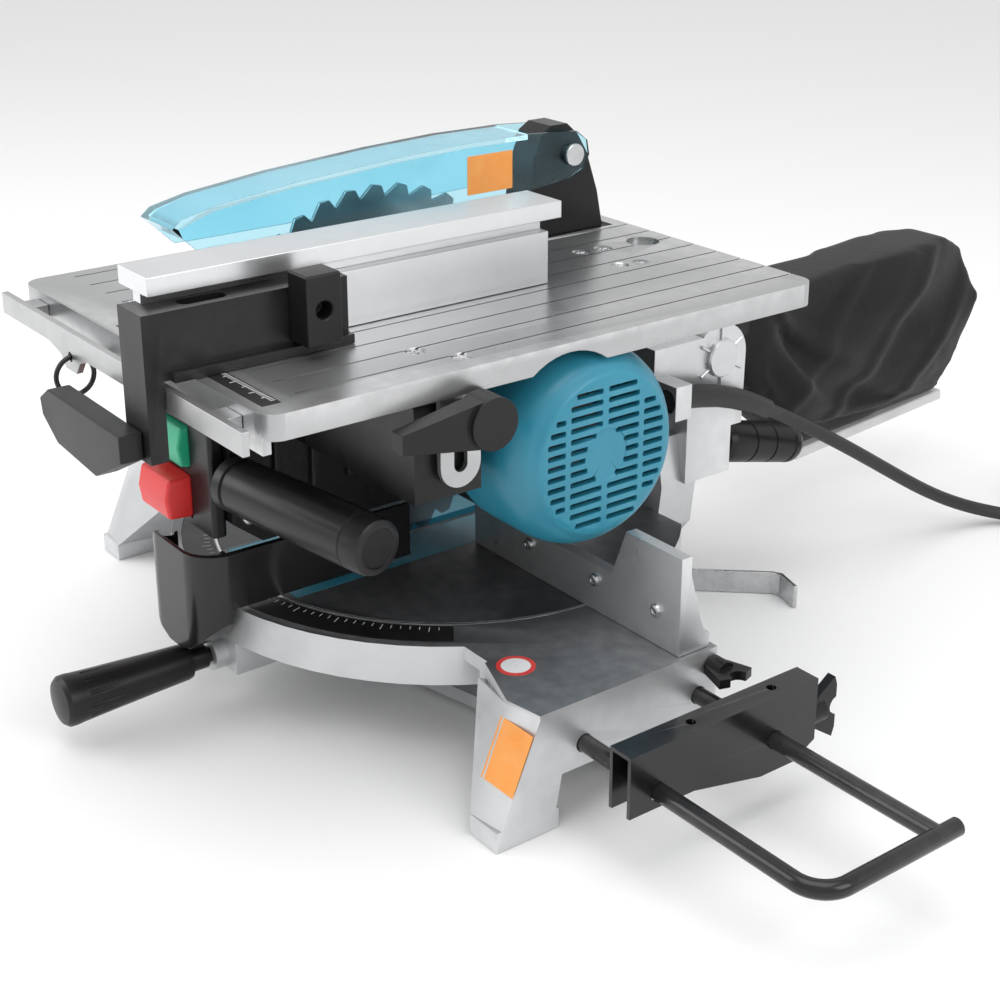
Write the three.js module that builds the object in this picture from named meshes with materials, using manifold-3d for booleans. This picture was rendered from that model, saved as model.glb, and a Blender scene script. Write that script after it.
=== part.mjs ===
// Bench-top combination mitre saw with an upper saw table.
// Millimetres, +Z up, +X towards the motor, -Y towards the user.
// Each piece is modelled about the mitre axis (x 0, y 0) and the bench (z 0).

import * as THREE from 'three';
import { mergeVertices } from 'three/addons/utils/BufferGeometryUtils.js';
import { ConvexGeometry } from 'three/addons/geometries/ConvexGeometry.js';
import Module from 'manifold-3d';

const wasm = await Module();
wasm.setup();

// ---------- driving dimensions ----------

const GAP = 0.3;              // clearance between touching pieces
const RUNNING = 0.5;          // clearance between turning pieces

const DECK_Z = 76.8;          // top of base and turntable
const DECK_THICK = 9;
const TURNTABLE_R = 159.5;
const RING_OUT = 190;         // outer radius of the scale ring
const RING_LOW = 51;
const HUB_TOP = 41.5;         // the turntable's hub stands on this
const PIVOT_R = 8;
const BASE_HALF = 249;        // half width of the base
const BASE_FRONT = -122;
const BASE_REAR = 16;

const FENCE_FACE = -12.6;     // front face of the mitre fence
const FENCE_HIGH = 140;
const FENCE_LOW = 108;
const FENCE_THROAT = 46;      // half width of the gap for the head
const FENCE_STEP = 197;       // where the right half reaches its full height
const FENCE_END = BASE_HALF - 3;

const ROD_R = 5.3;            // stock support rods
const ROD_Z = 48.5;
const ROD_FRONT = -86;
const ROD_REAR = 2;
const BAR_REACH = 181;        // how far the support bar stands out of the base
const BAR_END = BASE_HALF + BAR_REACH;

const BLADE_R = 125;
const BLADE_THICK = 2.6;
const BLADE_Y = -58;
const BLADE_Z = 194;
const BORE_R = 15;

const MOTOR_Y = -32;
const MOTOR_Z = 195;
const MOTOR_R = 62;
const MOTOR_IN = 135;         // inner end of the motor housing
const MOTOR_OUT = 200;        // outer end of the motor housing

const CASE_LEFT = -24;        // blade case
const CASE_RIGHT = 36;
const CASE_FRONT = -187;
const CASE_REAR = 92;
const CASE_LOW = 118;           // lower edge of the motor side
const CASE_LOW_LEFT = 150;      // lower edge of the far side, which tilts down
const CASE_TOP = 247;
const WALL = 3;

const HINGE_Y = 165;          // head hinge
const HINGE_Z = 183;
const HINGE_R = 8;

const TABLE_L = 390;          // upper table
const TABLE_FRONT = -250;
const TABLE_LEFT = -101;
const TABLE_RIGHT = 196;
const TABLE_TOP = 266.4;
const TABLE_PLATE = 6;
const TABLE_SKIRT = 14.4;
const TABLE_REAR = TABLE_FRONT + TABLE_L;
const TABLE_TRAVEL = 30;      // height adjustment of the table

const STUD_Y = -124;          // clamp stud of the table height lock
const STUD_Z = 240;
const STUD_R = 4;

const GUARD_Y = 88;           // pivot of the top guard
const GUARD_Z = 322;
const GUARD_HALF = 20;

const CORD_D = 10;
const COIL_MEAN = 55;         // mean radius of the stored coil
const COIL_AT = [172, 532];

// ---------- solids ----------

/** Turns closed three.js geometry into a solid whose faces point out. */
function solid(geometry) {
  const plain = geometry.clone();
  plain.deleteAttribute('normal');
  plain.deleteAttribute('uv');
  const merged = mergeVertices(plain, 1e-4);
  const points = merged.attributes.position.array;
  const index = Array.from(merged.index.array);
  const faces = [];
  let volume = 0;
  for (let i = 0; i < index.length; i += 3) {
    const [a, b, c] = index.slice(i, i + 3);
    if (a === b || b === c || a === c) continue;
    faces.push([a, b, c]);
    const p = [a, b, c].map((k) => new THREE.Vector3().fromArray(points, 3 * k));
    volume += p[0].dot(p[1].clone().cross(p[2]));
  }
  const ordered = volume < 0 ? faces.map(([a, b, c]) => [a, c, b]) : faces;
  return new wasm.Manifold(new wasm.Mesh({
    numProp: 3,
    vertProperties: new Float32Array(points),
    triVerts: new Uint32Array(ordered.flat()),
  }));
}

const join = (...pieces) => pieces.reduce((a, b) => a.add(b));
const cut = (body, ...tools) => tools.reduce((a, b) => a.subtract(b), body);

/** A box between two corners. */
function block([x0, x1], [y0, y1], [z0, z1]) {
  const box = new THREE.BoxGeometry(x1 - x0, y1 - y0, z1 - z0);
  return solid(box.translate((x0 + x1) / 2, (y0 + y1) / 2, (z0 + z1) / 2));
}

/** An outline pushed along an axis. Outline points are (y,z), (x,z) or (x,y). */
function prism(axis, outline, from, to) {
  const points = (list) => list.map(([u, v]) => new THREE.Vector2(u, v));
  const shape = outline instanceof THREE.Shape ? outline : new THREE.Shape(points(outline));
  const bar = new THREE.ExtrudeGeometry(shape, { depth: to - from, bevelEnabled: false,
    curveSegments: 8 });
  const X = new THREE.Vector3(1, 0, 0);
  const Y = new THREE.Vector3(0, 1, 0);
  const Z = new THREE.Vector3(0, 0, 1);
  const turn = new THREE.Matrix4();
  if (axis === 'x') turn.makeBasis(Y, Z, X).setPosition(from, 0, 0);
  if (axis === 'y') turn.makeBasis(X, Z, Y.clone().negate()).setPosition(0, to, 0);
  if (axis === 'z') turn.setPosition(0, 0, from);
  return solid(bar.applyMatrix4(turn));
}

/** A round bar along an axis, at the two other coordinates. */
function bar(axis, radius, [a, b], from, to, sides = 20) {
  const rod = new THREE.CylinderGeometry(radius, radius, to - from, sides).translate(0, (from + to) / 2,
    0);
  if (axis === 'x') rod.rotateZ(-Math.PI / 2).translate(0, a, b);
  if (axis === 'y') rod.translate(a, 0, b);
  if (axis === 'z') rod.rotateX(Math.PI / 2).translate(a, b, 0);
  return solid(rod);
}

/** A turned piece: profile points are (radius, distance along the axis). */
function turned(axis, profile, [a, b], sides = 24) {
  const round = new THREE.LatheGeometry(profile.map(([r, h]) => new THREE.Vector2(r, h)), sides);
  if (axis === 'x') round.rotateZ(-Math.PI / 2).translate(0, a, b);
  if (axis === 'y') round.translate(a, 0, b);
  if (axis === 'z') round.rotateX(Math.PI / 2).translate(a, b, 0);
  return solid(round);
}

/** A round wire along a smooth line. */
function wire(points, radius, steps, sides = 10, tension = 0.5) {
  const path = new THREE.CatmullRomCurve3(points.map((p) => new THREE.Vector3(...p)), false,
    'catmullrom', tension);
  const ring = new THREE.Shape();
  ring.absarc(0, 0, radius, 0, 2 * Math.PI);
  const section = new THREE.Shape(ring.getPoints(sides / 2).slice(0, sides));
  return solid(new THREE.ExtrudeGeometry(section, { extrudePath: path, steps, curveSegments: 1 }));
}

/** The convex body around some points. */
function hull(points) {
  return solid(new ConvexGeometry(points.map((p) => new THREE.Vector3(...p))));
}

/** A rectangle with rounded corners as a shape. */
function rounded(u0, u1, v0, v1, r) {
  const s = new THREE.Shape();
  s.moveTo(u0 + r, v0);
  s.lineTo(u1 - r, v0).absarc(u1 - r, v0 + r, r, -Math.PI / 2, 0);
  s.lineTo(u1, v1 - r).absarc(u1 - r, v1 - r, r, 0, Math.PI / 2);
  s.lineTo(u0 + r, v1).absarc(u0 + r, v1 - r, r, Math.PI / 2, Math.PI);
  s.lineTo(u0, v0 + r).absarc(u0 + r, v0 + r, r, Math.PI, 1.5 * Math.PI);
  return s;
}

/** The same body on both sides of the blade. */
const bothSides = (body) => join(body, body.mirror([1, 0, 0]));

// ---------- finishes ----------

const finish = (color, roughness, metalness, more = {}) =>
  new THREE.MeshStandardMaterial({ color, roughness, metalness, ...more });
const casting = finish(0xb9bbbd, 0.45, 0.6);
const milled = finish(0xd6d8da, 0.3, 0.9);
const darkDeck = finish(0x45474a, 0.5, 0.5);
const blackPlastic = finish(0x1c1d1f, 0.5, 0);
const blackMetal = finish(0x161719, 0.4, 0.4);
const steel = finish(0xc9ccd0, 0.3, 0.95);
const teal = finish(0x2b7f96, 0.4, 0);
const clearTeal = finish(0x38a3c4, 0.1, 0, { transparent: true, opacity: 0.5 });
const green = finish(0x1fb886, 0.4, 0);
const red = finish(0xe23a3a, 0.4, 0);
const copper = finish(0xa86a3c, 0.5, 0.7);
const rubber = finish(0x1f2022, 0.8, 0);
const fabric = finish(0x222325, 0.95, 0);
const whitePlastic = finish(0xd9dadb, 0.5, 0);

const saw = new THREE.Group();
const cordParts = new THREE.Group();

/** Puts a solid into the model under its name. */
function place(name, body, material, group = saw) {
  const { numProp, vertProperties, triVerts } = body.getMesh();
  const points = new Float32Array(vertProperties.length / numProp * 3);
  for (let i = 0; i < points.length / 3; i++) {
    for (let k = 0; k < 3; k++) points[3 * i + k] = vertProperties[numProp * i + k];
  }
  const geometry = new THREE.BufferGeometry();
  geometry.setAttribute('position', new THREE.BufferAttribute(points, 3));
  geometry.setIndex(new THREE.BufferAttribute(new Uint32Array(triVerts), 1));
  geometry.computeVertexNormals();
  const piece = new THREE.Mesh(geometry, material);
  piece.name = name;
  group.add(piece);
}

// ---------- base ----------

/** The curved strip at the front of the ring that the angle scale fills. */
function scaleBand(inner, outer, from, to) {
  const far = 2 * outer;
  const wedge = prism('z', [[0, 0], [far, -far * 0.7], [far, -far], [-far, -far], [-far, -far * 0.7]],
    0, 200);
  return cut(bar('z', outer, [0, 0], from, to, 64), bar('z', inner, [0, 0], 0, 200, 64)).intersect(wedge);
}
const SCALE_R = [163.4, 183.6];
const SCALE_THICK = 0.7;

function baseCasting() {
  const ringCut = bar('z', TURNTABLE_R + RUNNING, [0, 0], -1, 200, 64);
  const deckLow = DECK_Z - DECK_THICK;
  const front = block([-260, 260], [-260, -12], [0, DECK_Z]);
  const ring = cut(bar('z', RING_OUT, [0, 0], RING_LOW, DECK_Z, 64), ringCut).intersect(front);
  const seat = scaleBand(SCALE_R[0] - GAP, SCALE_R[1] + GAP, DECK_Z - SCALE_THICK - GAP, DECK_Z + 1);
  const wing = cut(join(
    block([138, BASE_HALF], [-104, BASE_REAR], [deckLow, DECK_Z]),
    hull([deckLow, DECK_Z].flatMap((z) => [[182, -106, z], [BASE_HALF - 25, BASE_FRONT, z],
      [BASE_HALF, -118, z], [BASE_HALF, -90, z], [182, -90, z]])),
    block([BASE_HALF - 8, BASE_HALF], [-112, BASE_REAR], [34, deckLow]),
    block([166, 174], [-98, BASE_REAR], [34, deckLow]),
    block([150, BASE_HALF], [BASE_REAR - 8, BASE_REAR], [3, deckLow]),
    hull([[178, -108, 66], [BASE_HALF - 25, -122, 74], [BASE_HALF, -118, 74],
      [BASE_HALF, -96, 66], [190, -92, 62], [BASE_HALF - 25, -148, 12], [BASE_HALF, -145, 12],
        [BASE_HALF, -106, 12], [BASE_HALF - 29, -100, 12]]),
    block([BASE_HALF - 25, BASE_HALF], [-148, -104], [0, 13]),
    hull([[BASE_HALF - 11, -22, 34], [BASE_HALF, -22, 34], [BASE_HALF, BASE_REAR, 34],
      [BASE_HALF - 29, BASE_REAR, 34], [BASE_HALF - 21, -8, 0], [BASE_HALF, -8, 0],
      [BASE_HALF, BASE_REAR, 0], [BASE_HALF - 25, BASE_REAR, 0]]),
  ), ringCut);
  const floor = prism('z', [[-BASE_HALF, -36], [-150, -60], [-60, -80], [60, -80], [150, -60],
    [BASE_HALF, -36], [BASE_HALF, 8], [160, 16], [125, 105], [72, 152],
    [-72, 152], [-125, 105], [-160, 16], [-BASE_HALF, 8]], 3, 12);
  const feet = bothSides(join(
    block([50, 72], [132, 152], [0, 12]), block([108, 126], [86, 104], [0, 12])));
  const hub = join(bar('z', 34, [0, 0], 3, HUB_TOP, 40), bar('z', 60, [0, 0], 3, 20, 40));
  const boltBore = bar('z', PIVOT_R + GAP, [0, 0], -1, 200, 24);
  const boltHead = bar('z', 18, [0, 0], -1, 10);
  let body = join(ring, bothSides(wing), floor, feet, hub);
  body = cut(body, boltBore, boltHead);
  const bores = [ROD_FRONT, ROD_REAR].map((y) => bar('x', ROD_R + RUNNING, [y, ROD_Z], 120,
    BASE_HALF + 11, 20));
  const screwBore = bar('x', 3 + RUNNING, [BAR_SCREW_Y, BAR_SCREW_Z], BASE_HALF - 29,
    BASE_HALF + 11, 16);
  const bench = bothSides(bar('z', 4, [BASE_HALF - 12, -130], -1, 16, 16));
  return cut(body, ...bores, screwBore, bench, seat);
}

const SCREW_R = 3;
const BAR_SCREW_Y = 11;
const BAR_SCREW_Z = 66;

place('base_casting', baseCasting(), casting);

const scale = scaleBand(...SCALE_R, DECK_Z - SCALE_THICK, DECK_Z);
place('mitre_scale', scale, blackMetal);

function mitreFence() {
  const foot = DECK_Z + GAP;
  const right = prism('y', [[FENCE_THROAT, foot], [FENCE_END, foot], [FENCE_END, FENCE_HIGH],
    [FENCE_STEP, FENCE_HIGH],
    [FENCE_STEP - 12, FENCE_LOW], [FENCE_THROAT, FENCE_LOW]], FENCE_FACE, FENCE_FACE + 8);
  // the far half stays low and is cut away at 45 degrees, to let the tilted head come down
  const left = prism('y', [[-FENCE_THROAT, foot], [-FENCE_THROAT, 92], [-FENCE_THROAT - 16, FENCE_LOW],
    [-FENCE_END, FENCE_LOW], [-FENCE_END, foot]], FENCE_FACE, FENCE_FACE + 8);
  const flange = block([FENCE_THROAT, FENCE_END], [FENCE_FACE, 12], [foot, foot + 9]);
  const rib = (x) => prism('x', [[FENCE_FACE, foot], [12, foot], [-4, FENCE_LOW - 6],
    [FENCE_FACE, FENCE_LOW - 6]],
    x, x + 5);
  const end = prism('x', [[FENCE_FACE, foot], [12, foot], [4, 98], [-8, FENCE_HIGH],
    [FENCE_FACE, FENCE_HIGH]],
    FENCE_END - 8, FENCE_END);
  const side = join(flange, rib(90), rib(150));
  // one bow behind the blade joins the two halves
  const bow = cut(bar('z', 64, [0, 4], foot, foot + 9, 48), bar('z', 50, [0, 4], 0, 200, 48),
    block([-80, 80], [-80, 4], [0, 200]));
  return join(bothSides(side), right, left, end, bow);
}
place('mitre_fence', mitreFence(), casting);

// the anti-tip strap lies on the bench behind the base and turns up at its free end
function rearBrace() {
  const line = [[60, 153.4], [76, 162], [114, 204], [119, 206], [139, 200], [140.5, 202.5], [119, 209.4],
    [112.5, 206.5], [74, 164.6], [59, 156.5]];
  return prism('z', line, 0, 17);
}
place('rear_brace', rearBrace(), steel);

place('mitre_pivot_bolt', join(
  bar('z', PIVOT_R, [0, 0], 3, 61, 24), bar('z', 14, [0, 0], 3, 9.6, 6)), steel);

// ---------- sliding stock support ----------

function extensionBar() {
  const inner = 165;
  const bend = 18;
  const rear = bar('x', ROD_R, [ROD_REAR, ROD_Z], inner, BAR_END, 10);
  const path = [[inner, ROD_FRONT, ROD_Z], [300, ROD_FRONT, ROD_Z], [BAR_END - bend, ROD_FRONT, ROD_Z]];
  for (let i = 1; i <= 5; i++) {
    const t = (i / 5) * Math.PI / 2;
    path.push([BAR_END - bend + bend * Math.sin(t), ROD_FRONT + bend - bend * Math.cos(t), ROD_Z]);
  }
  path.push([BAR_END, -40, ROD_Z], [BAR_END, ROD_REAR + 16, ROD_Z]);
  const loop = new THREE.CurvePath();
  const corners = path.map((p) => new THREE.Vector3(...p));
  for (let i = 1; i < corners.length; i++) loop.add(new THREE.LineCurve3(corners[i - 1], corners[i]));
  const section = new THREE.Shape();
  section.absarc(0, 0, ROD_R, 0, 2 * Math.PI);
  const bent = new THREE.ExtrudeGeometry(new THREE.Shape(section.getPoints(5).slice(0, 10)),
    { extrudePath: loop, steps: 36 });
  return join(rear, solid(bent));
}
place('extension_bar', extensionBar(), blackMetal);

const PLATE_OFFSET = 46;      // from the side of the base to the folded plate
const PLATE_WIDE = 17;
const PLATE_IN = BASE_HALF + PLATE_OFFSET;
const PLATE_OUT = PLATE_IN + PLATE_WIDE;

function supportPlate() {
  const outline = [[-107, 39], [-60, 39], [-8, 28], [18, 28], [35, 37], [35, DECK_Z], [-107, DECK_Z]];
  const sheet = 2.4;
  const body = cut(prism('x', outline, PLATE_IN, PLATE_OUT),
    block([PLATE_IN + sheet, PLATE_OUT - sheet], [-120, 35 - sheet], [0, DECK_Z - sheet]));
  return cut(body,
    ...[ROD_FRONT, ROD_REAR].map((y) => bar('x', ROD_R + RUNNING, [y, ROD_Z], PLATE_IN - 1,
      PLATE_OUT + 1, 20)),
    bar('y', 3 + GAP, [PLATE_SCREW_X, ROD_Z], 20, 50, 16),
    ...[-56, 6].map((y) => bar('z', 3, [PLATE_IN + 8, y], 60, 90, 14)));
}
const PLATE_SCREW_X = (PLATE_IN + PLATE_OUT) / 2;
place('support_plate', supportPlate(), blackMetal);

/** A thumb screw with two wings; its shank starts at the origin and runs along +Z. */
function thumbScrew(shank, radius, span) {
  const outline = [[-span + 6, -22], [-span, -20], [-7, -1], [7, -1], [span, -20], [span - 6, -22]];
  const wings = cut(prism('x', outline, -3, 3), bar('x', 6, [0, -23], -5, 5, 14));
  return join(wings, bar('z', 7, [0, 0], -12, 0, 18), bar('z', radius, [0, 0], -2, shank, 14));
}
place('plate_lock_screw', thumbScrew(27, SCREW_R, 20).rotate([90, 0, 0])
  .translate([PLATE_SCREW_X, 36, ROD_Z]), blackPlastic);
place('bar_lock_screw', thumbScrew(22, SCREW_R, 13).rotate([0, -90, 0]).translate([BASE_HALF + 1,
  BAR_SCREW_Y, BAR_SCREW_Z]),
  blackPlastic);

// ---------- turntable ----------

const INSERT_HALF = 44;
const INSERT_RIM = 9.5;       // metal left ahead of the throat plate
const INSERT_FRONT = INSERT_RIM - TURNTABLE_R;
const INSERT_REAR = 58;
const INSERT_THICK = 4.8;
const KERF = [-4, 7.5];       // wider on the right, where the tilted blade leaves
const TOWER_FRONT = 97;
const TOWER_REAR = 117.7;
const ARM_Z = 31.5;

function turntable() {
  const discLow = DECK_Z - DECK_THICK - 5;
  const disc = bar('z', TURNTABLE_R, [0, 0], discLow, DECK_Z, 64)
    .intersect(block([-200, 200], [-200, TOWER_REAR], [0, 100]));
  const pocket = block([-INSERT_HALF - GAP, INSERT_HALF + GAP], [INSERT_FRONT - GAP, INSERT_REAR + GAP],
    [DECK_Z - INSERT_THICK - GAP, 100]);
  const kerf = block([KERF[0] - 3, KERF[1] + 2], [INSERT_FRONT + 8, 46], [discLow + 3, 100]);
  const hub = bar('z', 24, [0, 0], HUB_TOP + RUNNING, discLow + 1, 32);
  const arm = join(block([-20, 20], [-182, -90], [22, 45]), block([-20, 20], [4.5 - TURNTABLE_R, -90],
    [22, discLow + 1]));
  const boss = bar('y', 11, [0, ARM_Z], -191, -180, 24);
  const gripBore = bar('y', 5 + GAP, [0, ARM_Z], -200, -160, 16);
  const tower = join(bar('y', 56, [0, DECK_Z], TOWER_FRONT, TOWER_REAR, 48)
    .intersect(block([-60, 60], [90, 120], [discLow, 140])), block([-56, 56], [70, TOWER_REAR],
      [discLow, DECK_Z]));
  const pinBore = bar('y', 10 + GAP, [0, DECK_Z], 88, 120, 24);
  const pinPocket = block([-16, 16], [60, TOWER_FRONT], [DECK_Z - 13, 200]);
  return cut(join(disc, arm, boss, tower, hub), pocket, kerf, gripBore, pinBore, pinPocket,
    bar('z', PIVOT_R + GAP, [0, 0], 0, discLow + 1.4, 24));
}
place('turntable', turntable(), darkDeck);

place('kerf_insert', cut(block([-INSERT_HALF, INSERT_HALF], [INSERT_FRONT, INSERT_REAR],
  [DECK_Z - INSERT_THICK, DECK_Z]), block(KERF, [INSERT_FRONT + 10, 44], [0, 100])), teal);

place('mitre_grip', turned('y', [[0, -294], [9, -293.5], [14.5, -291], [16.5, -285], [15.5, -262],
  [12.5, -215],
  [10.5, -200], [9, -194], [4.9, -194], [4.9, -166], [0, -166]], [0, ARM_Z], 28), blackPlastic);

place('bevel_pivot_bolt', join(bar('y', 10, [0, DECK_Z], TOWER_FRONT - 6, 152, 24),
  bar('y', 12, [0, DECK_Z], TOWER_FRONT - 8, TOWER_FRONT - GAP, 6)), steel);

// ---------- bevel arm ----------

const LUG_L = [-65, -45];
const LUG_R = [70, 90];
const GRIP_TILT = 14;

function bevelArm() {
  const front = TOWER_REAR + GAP;
  const disc = bar('y', 62, [0, DECK_Z], front, 142, 48);
  const lobe = hull([[30, front, 44], [70, front, 48], [82, front, 62], [86, front, 96], [80, front, 130],
    [30, front, 130], [30, 150, 44], [70, 150, 48], [82, 150, 62], [86, 150, 96], [80, 150, 130],
      [30, 150, 130]]);
  const column = block([LUG_L[0], LUG_R[1]], [136, 178], [96, 152]);
  const lug = ([x0, x1], reach) => join(
    bar('x', 24, [HINGE_Y, HINGE_Z], x0, x1, 36),
    prism('x', [[136, 130], [188, 130], [189, HINGE_Z], [HINGE_Y, 200], [reach, 200], [reach, 168],
      [136, 150]],
      x0, x1));
  const back = join(block([-32, 56], [192, 202], [80, 200]), block([-32, 56], [160, 202], [80, 138]));
  const cordBoss = block([88, 112], [104, 118], [156, 180]);
  const port = join(bar('y', 21, [PORT_X, PORT_Z], 200, 232, 32), bar('y', 27, [PORT_X, PORT_Z],
    196, 206, 32));
  const chute = bar('y', 16, [PORT_X, PORT_Z], 180, 240, 32);
  const barrelRoom = bar('x', 25, [HINGE_Y, HINGE_Z], LUG_L[1] - GAP, LUG_R[0] + GAP, 36);
  const body = cut(join(disc, lobe, column, lug(LUG_L, 140), lug(LUG_R, 104), back, cordBoss, port),
    barrelRoom);
  const gripBore = bar('z', 5 + GAP, [0, 0], -40, 10, 16)
    .rotate([-90 - GRIP_TILT, 0, 0]).translate([GRIP_X, GRIP_Y, GRIP_Z]);
  return cut(body, chute,
    bar('x', HINGE_R + GAP, [HINGE_Y, HINGE_Z], -100, 88, 24),
    bar('y', 10 + GAP, [0, DECK_Z], 100, 153, 24),
    gripBore,
    bar('x', 5 + GAP, [STOP_Y, STOP_Z], -90, -40, 16),
    bar('y', RELIEF_R[0] + 0.4, [CORD_EXIT_X, 168], 100, 124, 20));
}
const PORT_X = 12;
const PORT_Z = 176;
const GRIP_X = 74;
const GRIP_Y = 182.5;
const GRIP_Z = 112;
const STOP_Y = 150;
const STOP_Z = 170;
const CORD_EXIT_X = 103;
const RELIEF_R = [8, 6.5];
place('bevel_arm', bevelArm(), casting);

place('bevel_lock_grip', turned('z', [[0, -24], [4.9, -24], [4.9, 0.5], [13, 0.5], [15.5, 6],
  [15.5, 70], [12, 78],
  [0, 79]], [0, 0], 24).rotate([-90 - GRIP_TILT, 0, 0]).translate([GRIP_X, GRIP_Y, GRIP_Z]),
    blackPlastic);

place('head_hinge_shaft', bar('x', HINGE_R, [HINGE_Y, HINGE_Z], LUG_L[0] - 4, 86, 28), steel);

function stopPin() {
  const shank = bar('x', 5, [STOP_Y, STOP_Z], -80, LUG_L[1] - 1, 16);
  return join(shank, turned('x', [[0, -92], [9, -91], [11, -87], [9, -81], [7, -80], [0, -80]],
    [STOP_Y, STOP_Z], 24));
}
place('head_stop_pin', stopPin(), blackPlastic);

// ---------- head ----------

function bladeCase() {
  const w = WALL;
  const side = [[CASE_FRONT, 134], [CASE_FRONT + 20, CASE_LOW], [CASE_REAR - 20, CASE_LOW],
    [CASE_REAR, 140],
    [CASE_REAR, CASE_TOP], [CASE_FRONT, CASE_TOP]];
  const inner = [[CASE_FRONT + w, 136], [CASE_FRONT + 20, CASE_LOW - 5], [CASE_REAR - 20, CASE_LOW - 5],
    [CASE_REAR - w, 140], [CASE_REAR - w, CASE_TOP - w], [CASE_FRONT + w, CASE_TOP - w]];
  const shell = cut(prism('x', side, CASE_LEFT, CASE_RIGHT),
    prism('x', inner, CASE_LEFT + w, CASE_RIGHT - w),
    block([CASE_LEFT - 1, CASE_LEFT + w + 1], [-102, CASE_REAR + 1], [100, CASE_LOW_LEFT]));
  const bladeSlot = block([-6, 6], [-176, 72], [CASE_TOP - 10, CASE_TOP + 10]);
  const spindleHole = bar('x', 17, [BLADE_Y, BLADE_Z], CASE_RIGHT - 10, CASE_RIGHT + 5, 32);
  // arm that carries the clamp stud of the table, ahead of the motor
  const pod = block([CASE_RIGHT - 1, POD_END], POD_Y, POD_Z);
  const podHollow = block([CASE_RIGHT + 2, POD_END - w], [POD_Y[0] + w, POD_Y[1] - w],
    [POD_Z[0] - 1, POD_Z[1] - w]);
  const stud = bar('x', STUD_R, [STUD_Y, STUD_Z], POD_END - 3, 214, 16);
  // rear arm with the hinge barrel
  const barrelX = [LUG_L[1] + RUNNING, LUG_R[0] - RUNNING];
  const barrel = join(bar('x', 22, [HINGE_Y, HINGE_Z], ...barrelX, 36),
    block([barrelX[0], 60], [CASE_REAR - 1, HINGE_Y], [163, 203]));
  const shaftBore = bar('x', HINGE_R + RUNNING, [HINGE_Y, HINGE_Z], -90, 100, 24);
  const stopHole = bar('x', 5 + RUNNING, [STOP_Y, STOP_Z], LUG_L[1] - 5, LUG_L[1] + 16, 16);
  const sleeves = GUIDE_YS.map((y) => block([CASE_LEFT - 26, CASE_LEFT + 1], [y - 13, y + 13], SLEEVE_Z));
  const sleeveBores = GUIDE_YS.map((y) => bar('z', GUIDE_R + RUNNING, [GUIDE_X, y], 150, 260, 20));
  return cut(join(shell, cut(pod, podHollow), stud, barrel, ...sleeves),
    bladeSlot, spindleHole, shaftBore, stopHole, ...sleeveBores);
}
const POD_END = 178;
const POD_Y = [-150, -105];
const POD_Z = [186, 243];
const SLEEVE_Z = [197, 242];
const GUIDE_R = 6;
const GUIDE_X = CASE_LEFT - 13;
const GUIDE_YS = [-130, 50];
place('blade_case', bladeCase(), blackMetal);

const GEAR_IN = CASE_RIGHT + GAP;
const GEAR_OUT = MOTOR_IN - GAP;
const GEAR_ROOM = [50, 66];
function gearHousing() {
  const bell = bar('x', MOTOR_R - 1.5, [MOTOR_Y, MOTOR_Z], 92, GEAR_OUT, 40);
  const body = hull([
    [GEAR_IN, -92, 160], [GEAR_IN, -88, 238], [GEAR_IN, 84, 240], [GEAR_IN, 90, 150], [GEAR_IN, 30, 136],
    [GEAR_IN, -60, 140], [96, -80, 172], [96, -74, 232], [96, 74, 234], [96, 80, 158], [96, 20, 142],
    [96, -50, 146]]);
  const gearRoom = bar('x', 30, [BLADE_Y + 8, BLADE_Z], ...GEAR_ROOM, 40);
  const fanRoom = bar('x', 52, [MOTOR_Y, MOTOR_Z], 104, GEAR_OUT + 5, 40);
  const rotorBore = bar('x', 12, [MOTOR_Y, MOTOR_Z], 49, 110, 24);
  const spindleBore = bar('x', 16 + GAP, [BLADE_Y, BLADE_Z], GEAR_IN - 5, 55, 28);
  return cut(join(bell, body), gearRoom, fanRoom, rotorBore, spindleBore);
}
place('gear_housing', gearHousing(), blackPlastic);

const MOTOR_WALL = 4;
const DOME = 22;              // length of the rounded outer end
const FACE_R = 50;
function motorHousing() {
  const r = MOTOR_R;
  const w = MOTOR_WALL;
  const outer = [[r, MOTOR_IN], [r, MOTOR_OUT - DOME], [r - 3, MOTOR_OUT - 14],
    [FACE_R + 3, MOTOR_OUT - 5],
    [FACE_R, MOTOR_OUT], [0, MOTOR_OUT]];
  const inner = [[0, MOTOR_OUT - w], [FACE_R - 2, MOTOR_OUT - w], [r - w - 3, MOTOR_OUT - 16],
    [r - w, MOTOR_OUT - DOME], [r - w, MOTOR_IN], [r, MOTOR_IN]];
  const shell = turned('x', [...outer, ...inner], [MOTOR_Y, MOTOR_Z], 32);
  const slots = [];
  for (const z of [-30, -20, 20, 30]) {
    for (const y of [-26, 6]) {
      slots.push(block([MOTOR_OUT - 8, MOTOR_OUT + 2], [MOTOR_Y + y, MOTOR_Y + y + 20],
        [MOTOR_Z + z - 2.5, MOTOR_Z + z + 2.5]));
    }
  }
  const brushBores = bar('z', BRUSH_R + GAP, [BRUSH_X, MOTOR_Y], MOTOR_Z - r - 5, MOTOR_Z + r + 5, 20);
  return cut(shell, ...slots, brushBores);
}
const BRUSH_R = 8;
const BRUSH_X = 168;
place('motor_housing', motorHousing(), teal);
const brushCap = (side) => {
  const ends = [MOTOR_Z + side * (MOTOR_R - 12), MOTOR_Z + side * (MOTOR_R - 1)].sort((a, b) => a - b);
  return bar('z', BRUSH_R, [BRUSH_X, MOTOR_Y], ...ends, 20);
};
place('brush_cap_top', brushCap(1), blackPlastic);
place('brush_cap_bottom', brushCap(-1), blackPlastic);

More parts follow.
